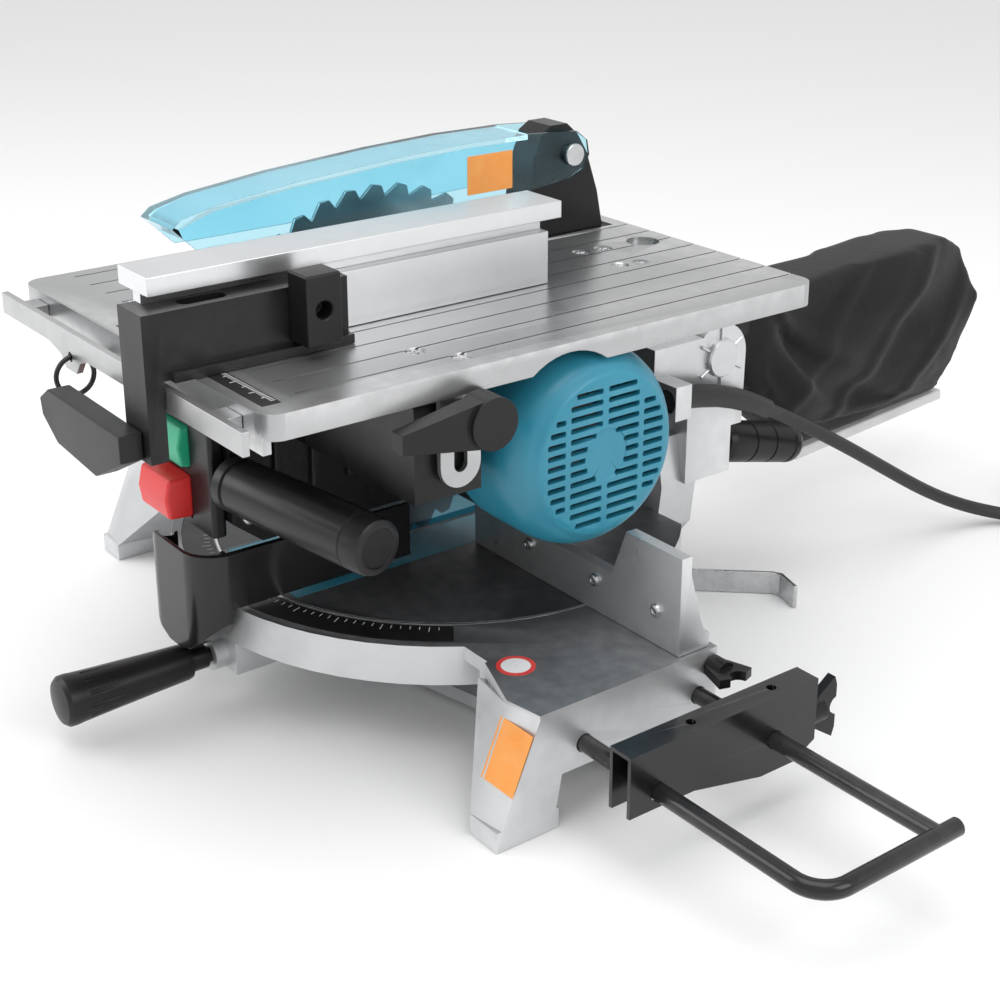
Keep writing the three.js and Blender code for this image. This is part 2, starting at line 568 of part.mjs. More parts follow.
const FIELD_X = [139, 158];
place('motor_field', cut(bar('x', MOTOR_R - MOTOR_WALL - GAP, [MOTOR_Y, MOTOR_Z], ...FIELD_X, 32),
  bar('x', 30, [MOTOR_Y, MOTOR_Z], 130, 170, 32)), steel);

const GEAR_TEETH = 36;
const PINION_TEETH = 12;
const CENTRES = Math.hypot(MOTOR_Y - BLADE_Y, MOTOR_Z - BLADE_Z);
const PINION_R = CENTRES * PINION_TEETH / (GEAR_TEETH + PINION_TEETH);
const GEAR_R = CENTRES - PINION_R;

/** A toothed wheel along +X whose tooth spaces are cut in from the pitch circle. */
function toothed(radius, teeth, from, to, depth) {
  const outline = [];
  for (let i = 0; i < teeth; i++) {
    for (const [t, r] of [[-0.3, radius], [0.3, radius], [0.42, radius - depth],
      [0.58, radius - depth]]) {
      const a = ((i + t) / teeth) * 2 * Math.PI;
      outline.push([r * Math.cos(a), r * Math.sin(a)]);
    }
  }
  return prism('x', outline, from, to);
}

const pinion = toothed(PINION_R - GAP, PINION_TEETH, 52, 64, 1).translate([0, MOTOR_Y, MOTOR_Z]);
place('armature', join(pinion,
  bar('x', 6, [MOTOR_Y, MOTOR_Z], 63, MOTOR_OUT - 6, 20),
  bar('x', 28.5, [MOTOR_Y, MOTOR_Z], ...FIELD_X, 32),
  bar('x', 15, [MOTOR_Y, MOTOR_Z], 161, 176, 24)), copper);

const FAN_X = 114;
function coolingFan() {
  const x = FAN_X;
  const disc = join(bar('x', 12, [MOTOR_Y, MOTOR_Z], x, x + 14, 24), bar('x', 50, [MOTOR_Y, MOTOR_Z],
    x, x + 2.5, 40));
  const vanes = [];
  for (let i = 0; i < 8; i++) {
    vanes.push(block([x + 2, x + 13], [14, 48],
      [-1, 1]).rotate([i * 45, 0, 0]).translate([0, MOTOR_Y, MOTOR_Z]));
  }
  return cut(join(disc, ...vanes), bar('x', 6 + GAP, [MOTOR_Y, MOTOR_Z], x - 5, x + 20, 20));
}
place('cooling_fan', coolingFan(), whitePlastic);
const bearing = (at, inner, outer, from, to) =>
  cut(bar('x', outer, at, from, to, 28), bar('x', inner, at, from - 1, to + 1, 28));
place('rotor_bearing', bearing([MOTOR_Y, MOTOR_Z], 6 + GAP, 12 - GAP, 82, 92), steel);

place('spindle_bearing', bearing([BLADE_Y, BLADE_Z], 8 + GAP, 16, GEAR_IN + 1, 48), steel);
place('driven_gear', cut(toothed(GEAR_R - GAP, GEAR_TEETH, 52, 64, 1)
  .translate([0, BLADE_Y, BLADE_Z]), bar('x', 8 + GAP, [BLADE_Y, BLADE_Z], 40, 70, 24)), steel);
place('spindle', join(bar('x', 8, [BLADE_Y, BLADE_Z], -13, 65, 24), bar('x', 13, [BLADE_Y, BLADE_Z],
  12, 30, 24)), steel);

function sawBlade() {
  const outline = [];
  const teeth = 40;
  for (let i = 0; i < teeth; i++) {
    for (const [t, r] of [[0, BLADE_R], [0.35, BLADE_R - 1.4], [0.5, BLADE_R - 8]]) {
      const a = (-(i + t) / teeth) * 2 * Math.PI;
      outline.push([r * Math.cos(a), r * Math.sin(a)]);
    }
  }
  const disc = prism('x', outline, -BLADE_THICK / 2, BLADE_THICK / 2).translate([0, BLADE_Y, BLADE_Z]);
  return cut(disc, bar('x', BORE_R, [BLADE_Y, BLADE_Z], -5, 5, 32));
}
place('saw_blade', sawBlade(), steel);
const flangeDisc = (from, to, nose) => cut(join(bar('x', 26, [BLADE_Y, BLADE_Z], from, to, 32), nose),
  bar('x', 8 + GAP, [BLADE_Y, BLADE_Z], -30, 30, 24));
place('inner_flange', flangeDisc(1.6, 7, bar('x', BORE_R - GAP, [BLADE_Y, BLADE_Z], -1.2, 4, 32)), steel);
place('outer_flange', flangeDisc(-6, -1.6, bar('x', 18, [BLADE_Y, BLADE_Z], -7.4, -5, 32)), steel);
place('spindle_nut', cut(bar('x', 12, [BLADE_Y, BLADE_Z],
  -14, -7.7, 6), bar('x', 8 + GAP, [BLADE_Y, BLADE_Z], -30, 30, 24)),
  steel);

// a cup ahead of the scale ring with one side wall; the far side stays open for the head to tilt
const COVER_LOW = DECK_Z + 2.2;
const COVER_TOP = CASE_LOW - 2;
const CUP_FRONT = -213;
const CUP_REAR = -191.8;      // just ahead of the scale ring
const CUP_HALF = 39;
function lowerCover() {
  const plan = (inset) => {
    const half = CUP_HALF - inset;
    const s = new THREE.Shape();
    s.moveTo(-half, -60);
    s.lineTo(-half, -190);
    s.absarc(-half + 22, CUP_FRONT + 22, 22 - inset, Math.PI, 1.5 * Math.PI);
    s.absarc(half - 22, CUP_FRONT + 22, 22 - inset, 1.5 * Math.PI, 2 * Math.PI);
    s.lineTo(half, -60);
    return s;
  };
  const trough = (d, top) => [[-CUP_HALF + d, 70 + d], [-30 + d, 59 + d], [-20, 51.5 + d], [-8, 46.5 + d],
    [8, 46.5 + d], [20, 51.5 + d], [30 - d, 59 + d], [CUP_HALF - d, 70 + d], [CUP_HALF - d, top],
    [-CUP_HALF + d, top]];
  const w = 2.5;
  const skirt = cut(prism('z', plan(0), COVER_LOW, COVER_TOP), prism('z', plan(w), 0, 200));
  const cup = prism('y', trough(0, COVER_TOP), CUP_FRONT, CUP_REAR).intersect(prism('z', plan(0), 0,
    200));
  const hollow = prism('y', trough(w, 300), CUP_FRONT + w, CUP_REAR - w).intersect(prism('z', plan(w),
    0, 300));
  const throat = block([-30, 30], [CUP_REAR - w - 1, CUP_REAR + 1], [COVER_LOW + 8, 300]);
  const bevelRoom = block([-60, 20], [CUP_REAR, 0], [0, 300]);
  const deckRoom = prism('y', [[-60, 77.5], [-39.5, 98], [-7.5, 130], [-60, 130]],
    CUP_FRONT - 1, CUP_REAR + 1);
  return cut(join(cut(skirt, bevelRoom), cup), hollow, throat, deckRoom);
}
place('lower_cover', lowerCover(), blackPlastic);

// switch box at the front of the blade case
const BOX_X = [-44, 30];
const BOX_FRONT = -197;
const BOX_Z = [124.5, 236];
function switchBox() {
  const outer = prism('z', rounded(BOX_X[0], BOX_X[1], BOX_FRONT, CASE_FRONT - GAP, 3), BOX_Z[0],
    BOX_Z[1]);
  const rooms = BUTTONS.map(({ x, z }) => block([x[0] - GAP, x[1] + GAP], [BOX_FRONT - 1, BOX_FRONT + 6],
    [z[0] - GAP, z[1] + GAP]));
  return cut(outer, ...rooms);
}
const BUTTONS = [
  { name: 'start_button', x: [-36, 3], z: [163, 190], out: 7, look: green },
  { name: 'stop_button', x: [-38, 3], z: [130, 158], out: 17, look: red },
];
place('switch_box', switchBox(), blackPlastic);
for (const { name, x, z, out, look } of BUTTONS) {
  const front = BOX_FRONT - out;
  const cap = hull([[x[0], BOX_FRONT + 2, z[0]], [x[1], BOX_FRONT + 2, z[0]], [x[0], BOX_FRONT + 2, z[1]],
    [x[1], BOX_FRONT + 2, z[1]], [x[0] + 2, front + 2, z[0] + 1], [x[1] - 1, front + 2, z[0] + 1],
    [x[0] + 2, front, (z[0] + z[1]) / 2], [x[1] - 1, front, (z[0] + z[1]) / 2],
    [x[0] + 2, front + 3, z[1] - 1], [x[1] - 1, front + 3, z[1] - 1]]);
  place(name, cap, look);
}

const FRONT_GRIP_Z = 162.5;
const FRONT_GRIP_L = 134;
const FRONT_GRIP_TURN = 8;    // degrees back from straight across
const frontGrip = turned('x', [[0, -6], [17, -6], [17.5, 12], [17.5, FRONT_GRIP_L - 14],
  [16, FRONT_GRIP_L - 5], [12, FRONT_GRIP_L], [0, FRONT_GRIP_L]], [0, 0], 28)
  .rotate([0, 0, FRONT_GRIP_TURN]).translate([CASE_RIGHT, -187, FRONT_GRIP_Z]);
place('front_grip', cut(frontGrip, block([0, CASE_RIGHT + GAP], [-220, -150], [100, 200])), rubber);

function rivingBracket() {
  const side = [[70, CASE_TOP + GAP], [120, CASE_TOP + GAP], [122, 268], [117, 292], [108, 318],
    [98, 334], [90, 341],
    [76, 341], [68, 336], [60, 316], [56, 290], [60, 268]];
  return cut(prism('x', side, -12, 12), bar('x', 4 + GAP, [GUARD_Y, GUARD_Z], -20, 20, 20));
}
place('riving_bracket', rivingBracket(), blackMetal);

function topGuard() {
  const side = [[-206, 317], [-200, 322], [-177, 327], [-123, 333], [-50, 338], [3, 340], [56, 339.5],
    [92, 337],
    [101, 330], [103, 320], [98, 311], [86, 306], [40, 301], [-60, 298], [-186, 298]];
  const inside = [[-201, 316], [-177, 323.5], [-123, 329.5], [-50, 334.5], [3, 336.5], [52, 336],
    [52, 345], [110, 345],
    [110, 290], [-190, 290]];
  const shell = cut(prism('x', side, -GUARD_HALF, GUARD_HALF), prism('x', inside, -GUARD_HALF + 2.5,
    GUARD_HALF - 2.5));
  return cut(shell, bar('x', 4 + GAP, [GUARD_Y, GUARD_Z], -40, 40, 20));
}
place('top_guard', topGuard(), clearTeal);
place('guard_pivot_screw', join(bar('x', 4, [GUARD_Y, GUARD_Z], -GUARD_HALF - 2, GUARD_HALF + 2, 20),
  bar('x', 7.5, [GUARD_Y, GUARD_Z], GUARD_HALF + GAP, GUARD_HALF + 4, 24)), steel);

// ---------- upper table ----------

function upperTable() {
  const low = TABLE_TOP - TABLE_SKIRT;
  const outer = prism('z', rounded(TABLE_LEFT, TABLE_RIGHT, TABLE_FRONT, TABLE_REAR, 12), low, TABLE_TOP);
  const inner = prism('z', rounded(TABLE_LEFT + 5, TABLE_RIGHT - 5, TABLE_FRONT + 5, TABLE_REAR - 5, 8),
    low - 5, TABLE_TOP - TABLE_PLATE);
  const corner = block([TABLE_RIGHT - 26, TABLE_RIGHT - 6], [TABLE_FRONT + 1, TABLE_FRONT + 6],
    [low - 8, low + 2]);
  const arch = bar('x', 44, [-56, 217], TABLE_RIGHT - 8, TABLE_RIGHT + 2, 48);
  const slot = block([-5, 5], [-165, 45], [200, 300]);
  const knifeRoom = block([-14.5, 14.5], [44, 130], [200, 300]);
  const seat = block([RULE[0] - GAP, RULE[1] + GAP], [RULE_Y[0] - GAP, RULE_Y[1] + GAP],
    [TABLE_TOP - 0.9, 300]);
  const round = bar('z', 11, [60, 117], TABLE_TOP - 3, 300, 28);
  return cut(join(cut(outer, inner), corner), arch, slot, knifeRoom, seat, round);
}
const RULE = [16, 181];
const RULE_Y = [-243, -232];
place('upper_table', upperTable(), milled);
place('fence_rule', block(RULE, RULE_Y, [TABLE_TOP - 0.6, TABLE_TOP]), blackMetal);

const BRACKET_X = [181.5, 185];
const SLOT_LOW = STUD_Z - TABLE_TRAVEL - 3;
function slottedBracket() {
  const under = TABLE_TOP - TABLE_PLATE - GAP;
  const half = 13.5;
  const s = new THREE.Shape();
  s.moveTo(STUD_Y - half, under);
  s.lineTo(STUD_Y - half, SLOT_LOW);
  s.absarc(STUD_Y, SLOT_LOW, half, Math.PI, 2 * Math.PI);
  s.lineTo(STUD_Y + half, under);
  const plate = prism('x', s, ...BRACKET_X);
  const r = STUD_R + RUNNING;
  const slot = join(block([160, 200], [STUD_Y - r, STUD_Y + r], [SLOT_LOW, STUD_Z + 1]),
    bar('x', r, [STUD_Y, SLOT_LOW], 160, 200, 20), bar('x', r, [STUD_Y, STUD_Z + 1], 160, 200, 20));
  return join(cut(plate, slot), block([150, BRACKET_X[1]], [STUD_Y - 18, STUD_Y + 18],
    [under - 4, under]));
}
place('slotted_bracket', slottedBracket(), milled);
GUIDE_YS.forEach((y, i) => place(`table_guide_${i + 1}`, bar('z', GUIDE_R, [GUIDE_X, y],
  SLEEVE_Z[0] + 3, TABLE_TOP - TABLE_PLATE - GAP, 20), steel));

function tableLever() {
  const hub = bar('x', 15, [STUD_Y, STUD_Z], 199.5, 217, 32);
  const tip = STUD_Y - 56;
  const arm = hull([[201, STUD_Y, STUD_Z + 14.5], [215, STUD_Y, STUD_Z + 14.5],
    [201, STUD_Y, STUD_Z - 14.5],
    [215, STUD_Y, STUD_Z - 14.5], [202, tip, STUD_Z + 5], [212, tip, STUD_Z + 5], [202, tip, STUD_Z - 6],
    [212, tip, STUD_Z - 6]]);
  return cut(join(hub, arm), bar('x', STUD_R + GAP, [STUD_Y, STUD_Z], 190, 214.5, 16));
}
place('table_lever', tableLever(), blackPlastic);
place('table_lever_washer', cut(bar('x', 11, [STUD_Y, STUD_Z], 197, 199.2, 28),
  bar('x', STUD_R + GAP, [STUD_Y, STUD_Z], 170, 210, 16)), steel);

const RAIL_Y = [-265, -261];
function frontRail() {
  const face = [[-97, 250], [-30, 250], [-14, 246], [-8, 239], [6, 239], [12, 247], [22, 250],
    [199, 250], [199, 263],
    [-97, 263]];
  const standoffs = [-70, 165].map((x) => block([x - 8, x + 8], [RAIL_Y[1] - 1, TABLE_FRONT - GAP],
    [253, 261]));
  return cut(join(prism('y', face, ...RAIL_Y), ...standoffs), bar('y', 3, [-1, 247.5], -270, -250, 16));
}
place('front_rail', frontRail(), milled);
place('rail_ring', solid(new THREE.TorusGeometry(11.5, 1.6, 6, 18)).rotate([0, 90, 0]).translate([-1,
  -263, 236]),
  blackMetal);

// ---------- rip fence ----------

function fenceExtrusion() {
  const low = TABLE_TOP + GAP;
  const lower = prism('y', [[76, low], [99, low], [99, 299.5], [76, 299.5]], -262, 5);
  const groove = block([80, 95], [-300, 20], [low + 4, 294]);
  const neck = block([82, 91], [-262, 5], [299, 309]);
  const top = block([70, 104], [-264, 11], [308, 318.5]);
  return join(cut(lower, groove), neck, top);
}
place('fence_extrusion', fenceExtrusion(), milled);

function fenceHead() {
  const low = TABLE_TOP + GAP;
  const body = block([99.3, 119], [-272, -152], [low, 304]);
  const flange = block([99.3, 125], [-262, -152], [low, 272]);
  const nose = block([92, 119], [-276, -265.4], [222, 304]);
  const slot = prism('z', rounded(103, 114, -250, -222, 5), 296, 310);
  return cut(join(body, flange, nose), slot, block([70, 99.2], [-265.3, -100], [200, 400]),
    bar('y', 4 + GAP, [104, 231], -290, -260, 16));
}
place('fence_head', fenceHead(), blackPlastic);
place('fence_clamp_block', cut(block([119.3, 139], [-190, -168], [274, 314]),
  bar('x', 5, [-179, 294], 128, 145, 20)), blackPlastic);

function fenceLever() {
  const outline = [[112, 224], [112, 239], [22, 240], [10, 232], [12, 222], [30, 210], [78, 206]];
  return join(prism('y', outline, -290, -276.4), bar('y', 4, [104, 231], -280, -262, 16));
}
place('fence_lever', fenceLever(), blackPlastic);

// ---------- dust bag ----------

const bagPoints = [];
for (let i = 0; i < 16; i++) {
  const a = (i / 16) * 2 * Math.PI;
  bagPoints.push([PORT_X + 24 * Math.cos(a), 233, PORT_Z + 24 * Math.sin(a)]);
}
for (const [y, z, half] of [[290, 206, 30], [420, 213, 34], [472, 214, 22], [500, 200, 22],
  [512, 160, 28],
  [502, 110, 26], [494, 66, 6], [330, 53.5, 6], [292, 80, 18], [260, 112, 24], [380, 130, 42],
    [300, 150, 36],
  [450, 140, 40]]) {
  bagPoints.push([PORT_X - half, y, z], [PORT_X + half, y, z]);
}
place('dust_bag', hull(bagPoints), fabric);
place('bag_closure', block([-7, 7], [-88, 88],
  [-9, 0]).rotate([Math.atan2(12.5, 164) * 180 / Math.PI, 0, 0])
  .translate([PORT_X, 411, 59]), whitePlastic);

// ---------- mains lead ----------

const RELIEF = [[CORD_EXIT_X, 118, 168], [CORD_EXIT_X, 150, 162], [CORD_EXIT_X, 180, 151],
  [CORD_EXIT_X, 200, 141]];
place('strain_relief', wire([[CORD_EXIT_X, 106, 168], ...RELIEF], RELIEF_R[0], 10, 12), rubber);

const CORD = [[103, 200.5, 140.7], [103.5, 220, 130.5], [105, 245, 116], [107, 270, 101], [109, 297, 84],
  [111, 325, 66], [113, 352, 48.5], [116, 378, 33], [121, 403, 20.5], [129, 426, 11.5], [141, 444, 7],
  [157, 456, 5.4], [176, 461, 5.4]];
place('mains_lead', wire(CORD, CORD_D / 2, 36, 8), rubber, cordParts);

const coil = turned('z', [[COIL_MEAN - CORD_D, 0.2], [COIL_MEAN + CORD_D, 0.2],
  [COIL_MEAN + CORD_D, 2 * CORD_D + 0.6],
  [COIL_MEAN - CORD_D, 2 * CORD_D + 0.6], [COIL_MEAN - CORD_D, 0.2]], COIL_AT, 40);
place('lead_coil', coil, rubber, cordParts);

function plug() {
  const z = 2 * CORD_D + 0.6 + GAP;
  const body = hull([[-20, -14, 0], [20, -14, 0], [-20, 14, 0], [20, 14, 0], [-20, -14, 26],
    [20, -14, 26],
    [-20, 14, 26], [20, 14, 26], [-9, -34, 6], [9, -34, 6], [-9, -34, 20], [9, -34, 20]]);
  const pins = [-9.5, 9.5].map((x) => bar('y', 2.4, [x, 13], 12, 32, 14));
  return join(body, ...pins).translate([COIL_AT[0] + COIL_MEAN - 8, COIL_AT[1] + 4, z]);
}
place('mains_plug', plug(), rubber, cordParts);

// ---------- standing on its own centre ----------

const footprint = new THREE.Box3().setFromObject(saw);
const centre = footprint.getCenter(new THREE.Vector3());
const part = new THREE.Group();
part.add(saw, cordParts);
part.position.set(-centre.x, -centre.y, -footprint.min.z);

export default part;
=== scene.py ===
import math

import bpy
from mathutils import Matrix, Vector


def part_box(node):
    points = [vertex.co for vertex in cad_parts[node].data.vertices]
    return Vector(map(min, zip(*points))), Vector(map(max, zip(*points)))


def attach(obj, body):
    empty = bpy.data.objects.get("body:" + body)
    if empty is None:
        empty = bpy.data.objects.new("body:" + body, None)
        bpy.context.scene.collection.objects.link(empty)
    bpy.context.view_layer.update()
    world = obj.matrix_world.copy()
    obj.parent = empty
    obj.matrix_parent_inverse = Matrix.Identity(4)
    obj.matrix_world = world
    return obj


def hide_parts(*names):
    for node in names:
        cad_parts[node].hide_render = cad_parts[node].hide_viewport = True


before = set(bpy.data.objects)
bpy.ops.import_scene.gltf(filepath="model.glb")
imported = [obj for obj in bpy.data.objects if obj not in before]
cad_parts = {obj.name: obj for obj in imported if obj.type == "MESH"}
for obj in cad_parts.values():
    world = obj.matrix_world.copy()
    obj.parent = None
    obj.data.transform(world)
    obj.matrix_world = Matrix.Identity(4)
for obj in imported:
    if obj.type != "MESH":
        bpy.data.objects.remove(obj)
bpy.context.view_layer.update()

# ---------- camera, floor and lights ----------
# A pale floor and a white room with three large soft lamps. The camera looks from the motor side, a little
# above the table, with a slightly long lens.

pivot_low, pivot_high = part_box("mitre_pivot_bolt")
MITRE_X = (pivot_low.x + pivot_high.x) / 2
MITRE_Y = (pivot_low.y + pivot_high.y) / 2


def at(x, y, z):
    """A place given in metres from the mitre axis and the bench."""
    return Vector((MITRE_X + x, MITRE_Y + y, z))


camera = bpy.data.objects.new("camera", bpy.data.cameras.new("camera"))
bpy.context.scene.collection.objects.link(camera)
camera.location = at(0.90337, -0.64245, 0.57294)
camera.rotation_euler = (math.radians(69.0), 0, math.radians(52.8))
camera.data.lens = 63
camera.data.sensor_width = 36
camera.data.shift_y = -0.08
bpy.context.scene.camera = camera
bpy.context.scene.view_settings.view_transform = "Standard"


def deselect():
    """Leaves nothing selected, so that the next operator acts on its own piece only."""
    if bpy.context.object and bpy.context.object.mode != "OBJECT":
        bpy.ops.object.mode_set(mode="OBJECT")
    for thing in list(bpy.context.selected_objects):
        thing.select_set(False)


def only(piece):
    deselect()
    piece.select_set(True)
    bpy.context.view_layer.objects.active = piece
    return piece


def dial(node, **values):
    """Sets a shader node's inputs. An underscore stands for the space in an input's name."""
    for name, value in values.items():
        node.inputs[name.replace("_", " ")].default_value = value


def joined(pieces):
    """Joins pieces to the first of them."""
    deselect()
    for piece in pieces:
        piece.select_set(True)
    bpy.context.view_layer.objects.active = pieces[0]
    bpy.ops.object.join()
    return pieces[0]


deselect()
bpy.ops.mesh.primitive_plane_add(size=14, location=(0, 0, -0.0004))
floor = bpy.context.object
floor.name = "floor"
floor_look = bpy.data.materials.new("pale_floor")
floor_look.use_nodes = True
floor_shader = floor_look.node_tree.nodes["Principled BSDF"]
dial(floor_shader, Base_Color=(0.90, 0.90, 0.90, 1), Roughness=0.75)
floor.data.materials.append(floor_look)

room = bpy.data.worlds.new("room")
room.use_nodes = True
room.node_tree.nodes["Background"].inputs["Color"].default_value = (1, 1, 1, 1)
room.node_tree.nodes["Background"].inputs["Strength"].default_value = 0.80
bpy.context.scene.world = room

for name, place, size, power in (
    ("lamp_over", (0.2, -0.3, 1.9), 1.6, 16),
    ("lamp_left", (-1.2, -1.5, 1.1), 1.2, 12),
    ("lamp_right", (1.7, 0.3, 1.2), 1.0, 9),
):
    lamp = bpy.data.objects.new(name, bpy.data.lights.new(name, "AREA"))
    lamp.data.size = size
    lamp.data.energy = power
    lamp.location = place
    aim = Vector((0, 0, 0.15)) - Vector(place)
    lamp.rotation_euler = aim.to_track_quat("-Z", "Y").to_euler()
    bpy.context.scene.collection.objects.link(lamp)

# ---------- mains lead ----------
# A round rubber lead, 10 mm thick, that leaves the rear arm through a moulded sleeve, falls to the bench
# and is wound into one neat coil with its plug on top.

def skin_group():
    """Fine grain for the bump and slow blotches for tone, both on the piece's own coordinates."""
    group = bpy.data.node_groups.new("moulded_skin", "ShaderNodeTree")
    for socket in ("Grain Scale", "Blotch Scale"):
        group.interface.new_socket(socket, in_out="INPUT", socket_type="NodeSocketFloat")
    for socket in ("Grain", "Tone"):
        group.interface.new_socket(socket, in_out="OUTPUT", socket_type="NodeSocketFloat")
    nodes, links = group.nodes, group.links
    entry = nodes.new("NodeGroupInput")
    leave = nodes.new("NodeGroupOutput")
    place = nodes.new("ShaderNodeTexCoord")
    grain = nodes.new("ShaderNodeTexNoise")
    dial(grain, Detail=3)
    blotch = nodes.new("ShaderNodeTexNoise")
    dial(blotch, Detail=4, Roughness=0.6)
    for texture, socket in ((grain, "Grain Scale"), (blotch, "Blotch Scale")):
        links.new(place.outputs["Object"], texture.inputs["Vector"])
        links.new(entry.outputs[socket], texture.inputs["Scale"])
    links.new(grain.outputs["Fac"], leave.inputs["Grain"])
    spread = nodes.new("ShaderNodeMapRange")
    dial(spread, From_Min=0.3, From_Max=0.7)
    links.new(blotch.outputs["Fac"], spread.inputs["Value"])
    links.new(spread.outputs["Result"], leave.inputs["Tone"])
    return group


def rub_group():
    """A mask of the sharp outer edges, broken up by noise, where handling takes the finish off."""
    group = bpy.data.node_groups.new("edge_rub", "ShaderNodeTree")
    group.interface.new_socket("Amount", in_out="INPUT", socket_type="NodeSocketFloat")
    group.interface.new_socket("Mask", in_out="OUTPUT", socket_type="NodeSocketFloat")
    nodes, links = group.nodes, group.links
    entry = nodes.new("NodeGroupInput")
    leave = nodes.new("NodeGroupOutput")
    shape = nodes.new("ShaderNodeNewGeometry")
    edge = nodes.new("ShaderNodeMapRange")
    dial(edge, From_Min=0.53, From_Max=0.62)
    links.new(shape.outputs["Pointiness"], edge.inputs["Value"])
    place = nodes.new("ShaderNodeTexCoord")
    patch = nodes.new("ShaderNodeTexNoise")
    dial(patch, Scale=90)
    links.new(place.outputs["Object"], patch.inputs["Vector"])
    broken = nodes.new("ShaderNodeMath")
    broken.operation = "MULTIPLY"
    links.new(edge.outputs["Result"], broken.inputs[0])
    links.new(patch.outputs["Fac"], broken.inputs[1])
    scaled = nodes.new("ShaderNodeMath")
    scaled.operation = "MULTIPLY"
    links.new(broken.outputs["Value"], scaled.inputs[0])
    links.new(entry.outputs["Amount"], scaled.inputs[1])
    links.new(scaled.outputs["Value"], leave.inputs["Mask"])
    return group


SKIN = skin_group()
RUB = rub_group()


def surface(name, light, dark, rubbed, rough, metallic, grain, blotch, depth, rub=0.6, coat=0.0, gleam=0.5):
    """A finish with grain, blotches of tone and gloss, and rubbed edges. Depth is the grain's, in metres."""
    look = bpy.data.materials.new(name)
    look.use_nodes = True
    nodes, links = look.node_tree.nodes, look.node_tree.links
    shader = nodes["Principled BSDF"]
    skin = nodes.new("ShaderNodeGroup")
    skin.node_tree = SKIN
    dial(skin, Grain_Scale=grain, Blotch_Scale=blotch)
    worn = nodes.new("ShaderNodeGroup")
    worn.node_tree = RUB
    dial(worn, Amount=rub)
    tone = nodes.new("ShaderNodeMix")
    tone.data_type = "RGBA"
    dial(tone, A=(*dark, 1), B=(*light, 1))
    links.new(skin.outputs["Tone"], tone.inputs["Factor"])
    edge = nodes.new("ShaderNodeMix")
    edge.data_type = "RGBA"
    dial(edge, B=(*rubbed, 1))
    links.new(worn.outputs["Mask"], edge.inputs["Factor"])
    links.new(tone.outputs["Result"], edge.inputs["A"])
    links.new(edge.outputs["Result"], shader.inputs["Base Color"])
    gloss = nodes.new("ShaderNodeMapRange")
    dial(gloss, To_Min=rough - 0.06, To_Max=rough + 0.06)
    links.new(skin.outputs["Tone"], gloss.inputs["Value"])
    links.new(gloss.outputs["Result"], shader.inputs["Roughness"])
    bump = nodes.new("ShaderNodeBump")
    dial(bump, Strength=0.5, Distance=depth)
    links.new(skin.outputs["Grain"], bump.inputs["Height"])
    links.new(bump.outputs["Normal"], shader.inputs["Normal"])
    dial(shader, Metallic=metallic, Coat_Weight=coat, Specular_IOR_Level=gleam)
    return look


lead_rubber = surface("lead_rubber", (0.020, 0.020, 0.022), (0.010, 0.010, 0.011), (0.05, 0.05, 0.05),
                      0.50, 0, 1500, 40, 0.00015)


def fit(piece, body, slot, look, *nodes):
    """Gives a piece its finish and says what it rides on and which CAD nodes it stands for."""
    piece.data.materials.clear()
    piece.data.materials.append(look)
    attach(piece, body)
    if nodes:
        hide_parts(*nodes)
    return piece


LEAD_THICK = 0.010
LEAD_ROUTE = (
    (0.103, 0.2005, 0.1407), (0.1035, 0.220, 0.1305), (0.105, 0.245, 0.116), (0.107, 0.270, 0.101),
    (0.109, 0.297, 0.084), (0.111, 0.325, 0.066), (0.113, 0.352, 0.0485), (0.116, 0.378, 0.033),
    (0.121, 0.403, 0.0205), (0.129, 0.426, 0.0115), (0.141, 0.444, 0.007), (0.157, 0.456, 0.0054),
    (0.176, 0.461, 0.0054),
)
coil_low, coil_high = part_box("lead_coil")
plug_low, plug_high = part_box("mains_plug")
coil_middle = (coil_low + coil_high) / 2
LAYER = LEAD_THICK + 0.0004
COIL_OUT = (coil_high.x - coil_low.x) / 2 - LEAD_THICK / 2
COIL_IN = COIL_OUT - LEAD_THICK - 0.0002
COIL_BOTTOM = coil_low.z + LEAD_THICK / 2 + 0.0002
ENTRY_R = COIL_OUT + LEAD_THICK + 0.001
plug_entry = Vector(((plug_low.x + plug_high.x) / 2, plug_low.y, (plug_low.z + plug_high.z) / 2))

# where the lead changes ring or layer: (degrees round the coil, radius, layer)
COIL_STAGES = (
    (-90, ENTRY_R, 0), (-30, COIL_OUT, 0), (230, COIL_OUT, 0), (300, COIL_IN, 0), (540, COIL_IN, 0),
    (590, COIL_IN, 1), (830, COIL_IN, 1), (895, COIL_OUT, 1), (1000, COIL_OUT, 1),
)


def eased(t):
    return t * t * (3 - 2 * t)


def coil_point(degrees):
    """The lead's centre at an angle along the coil."""
    for (a, ring_a, layer_a), (b, ring_b, layer_b) in zip(COIL_STAGES, COIL_STAGES[1:]):
        if degrees <= b:
            t = eased((degrees - a) / (b - a))
            radius = ring_a + (ring_b - ring_a) * t
            height = COIL_BOTTOM + (layer_a + (layer_b - layer_a) * t) * LAYER
            angle = math.radians(degrees)
            return Vector((coil_middle.x + radius * math.cos(angle),
                           coil_middle.y + radius * math.sin(angle), height))


lead_points = [at(*p) for p in LEAD_ROUTE]
COIL_STEP = 12
for degrees in range(COIL_STAGES[0][0] + COIL_STEP, COIL_STAGES[-1][0] + 1, COIL_STEP):
    lead_points.append(coil_point(degrees))
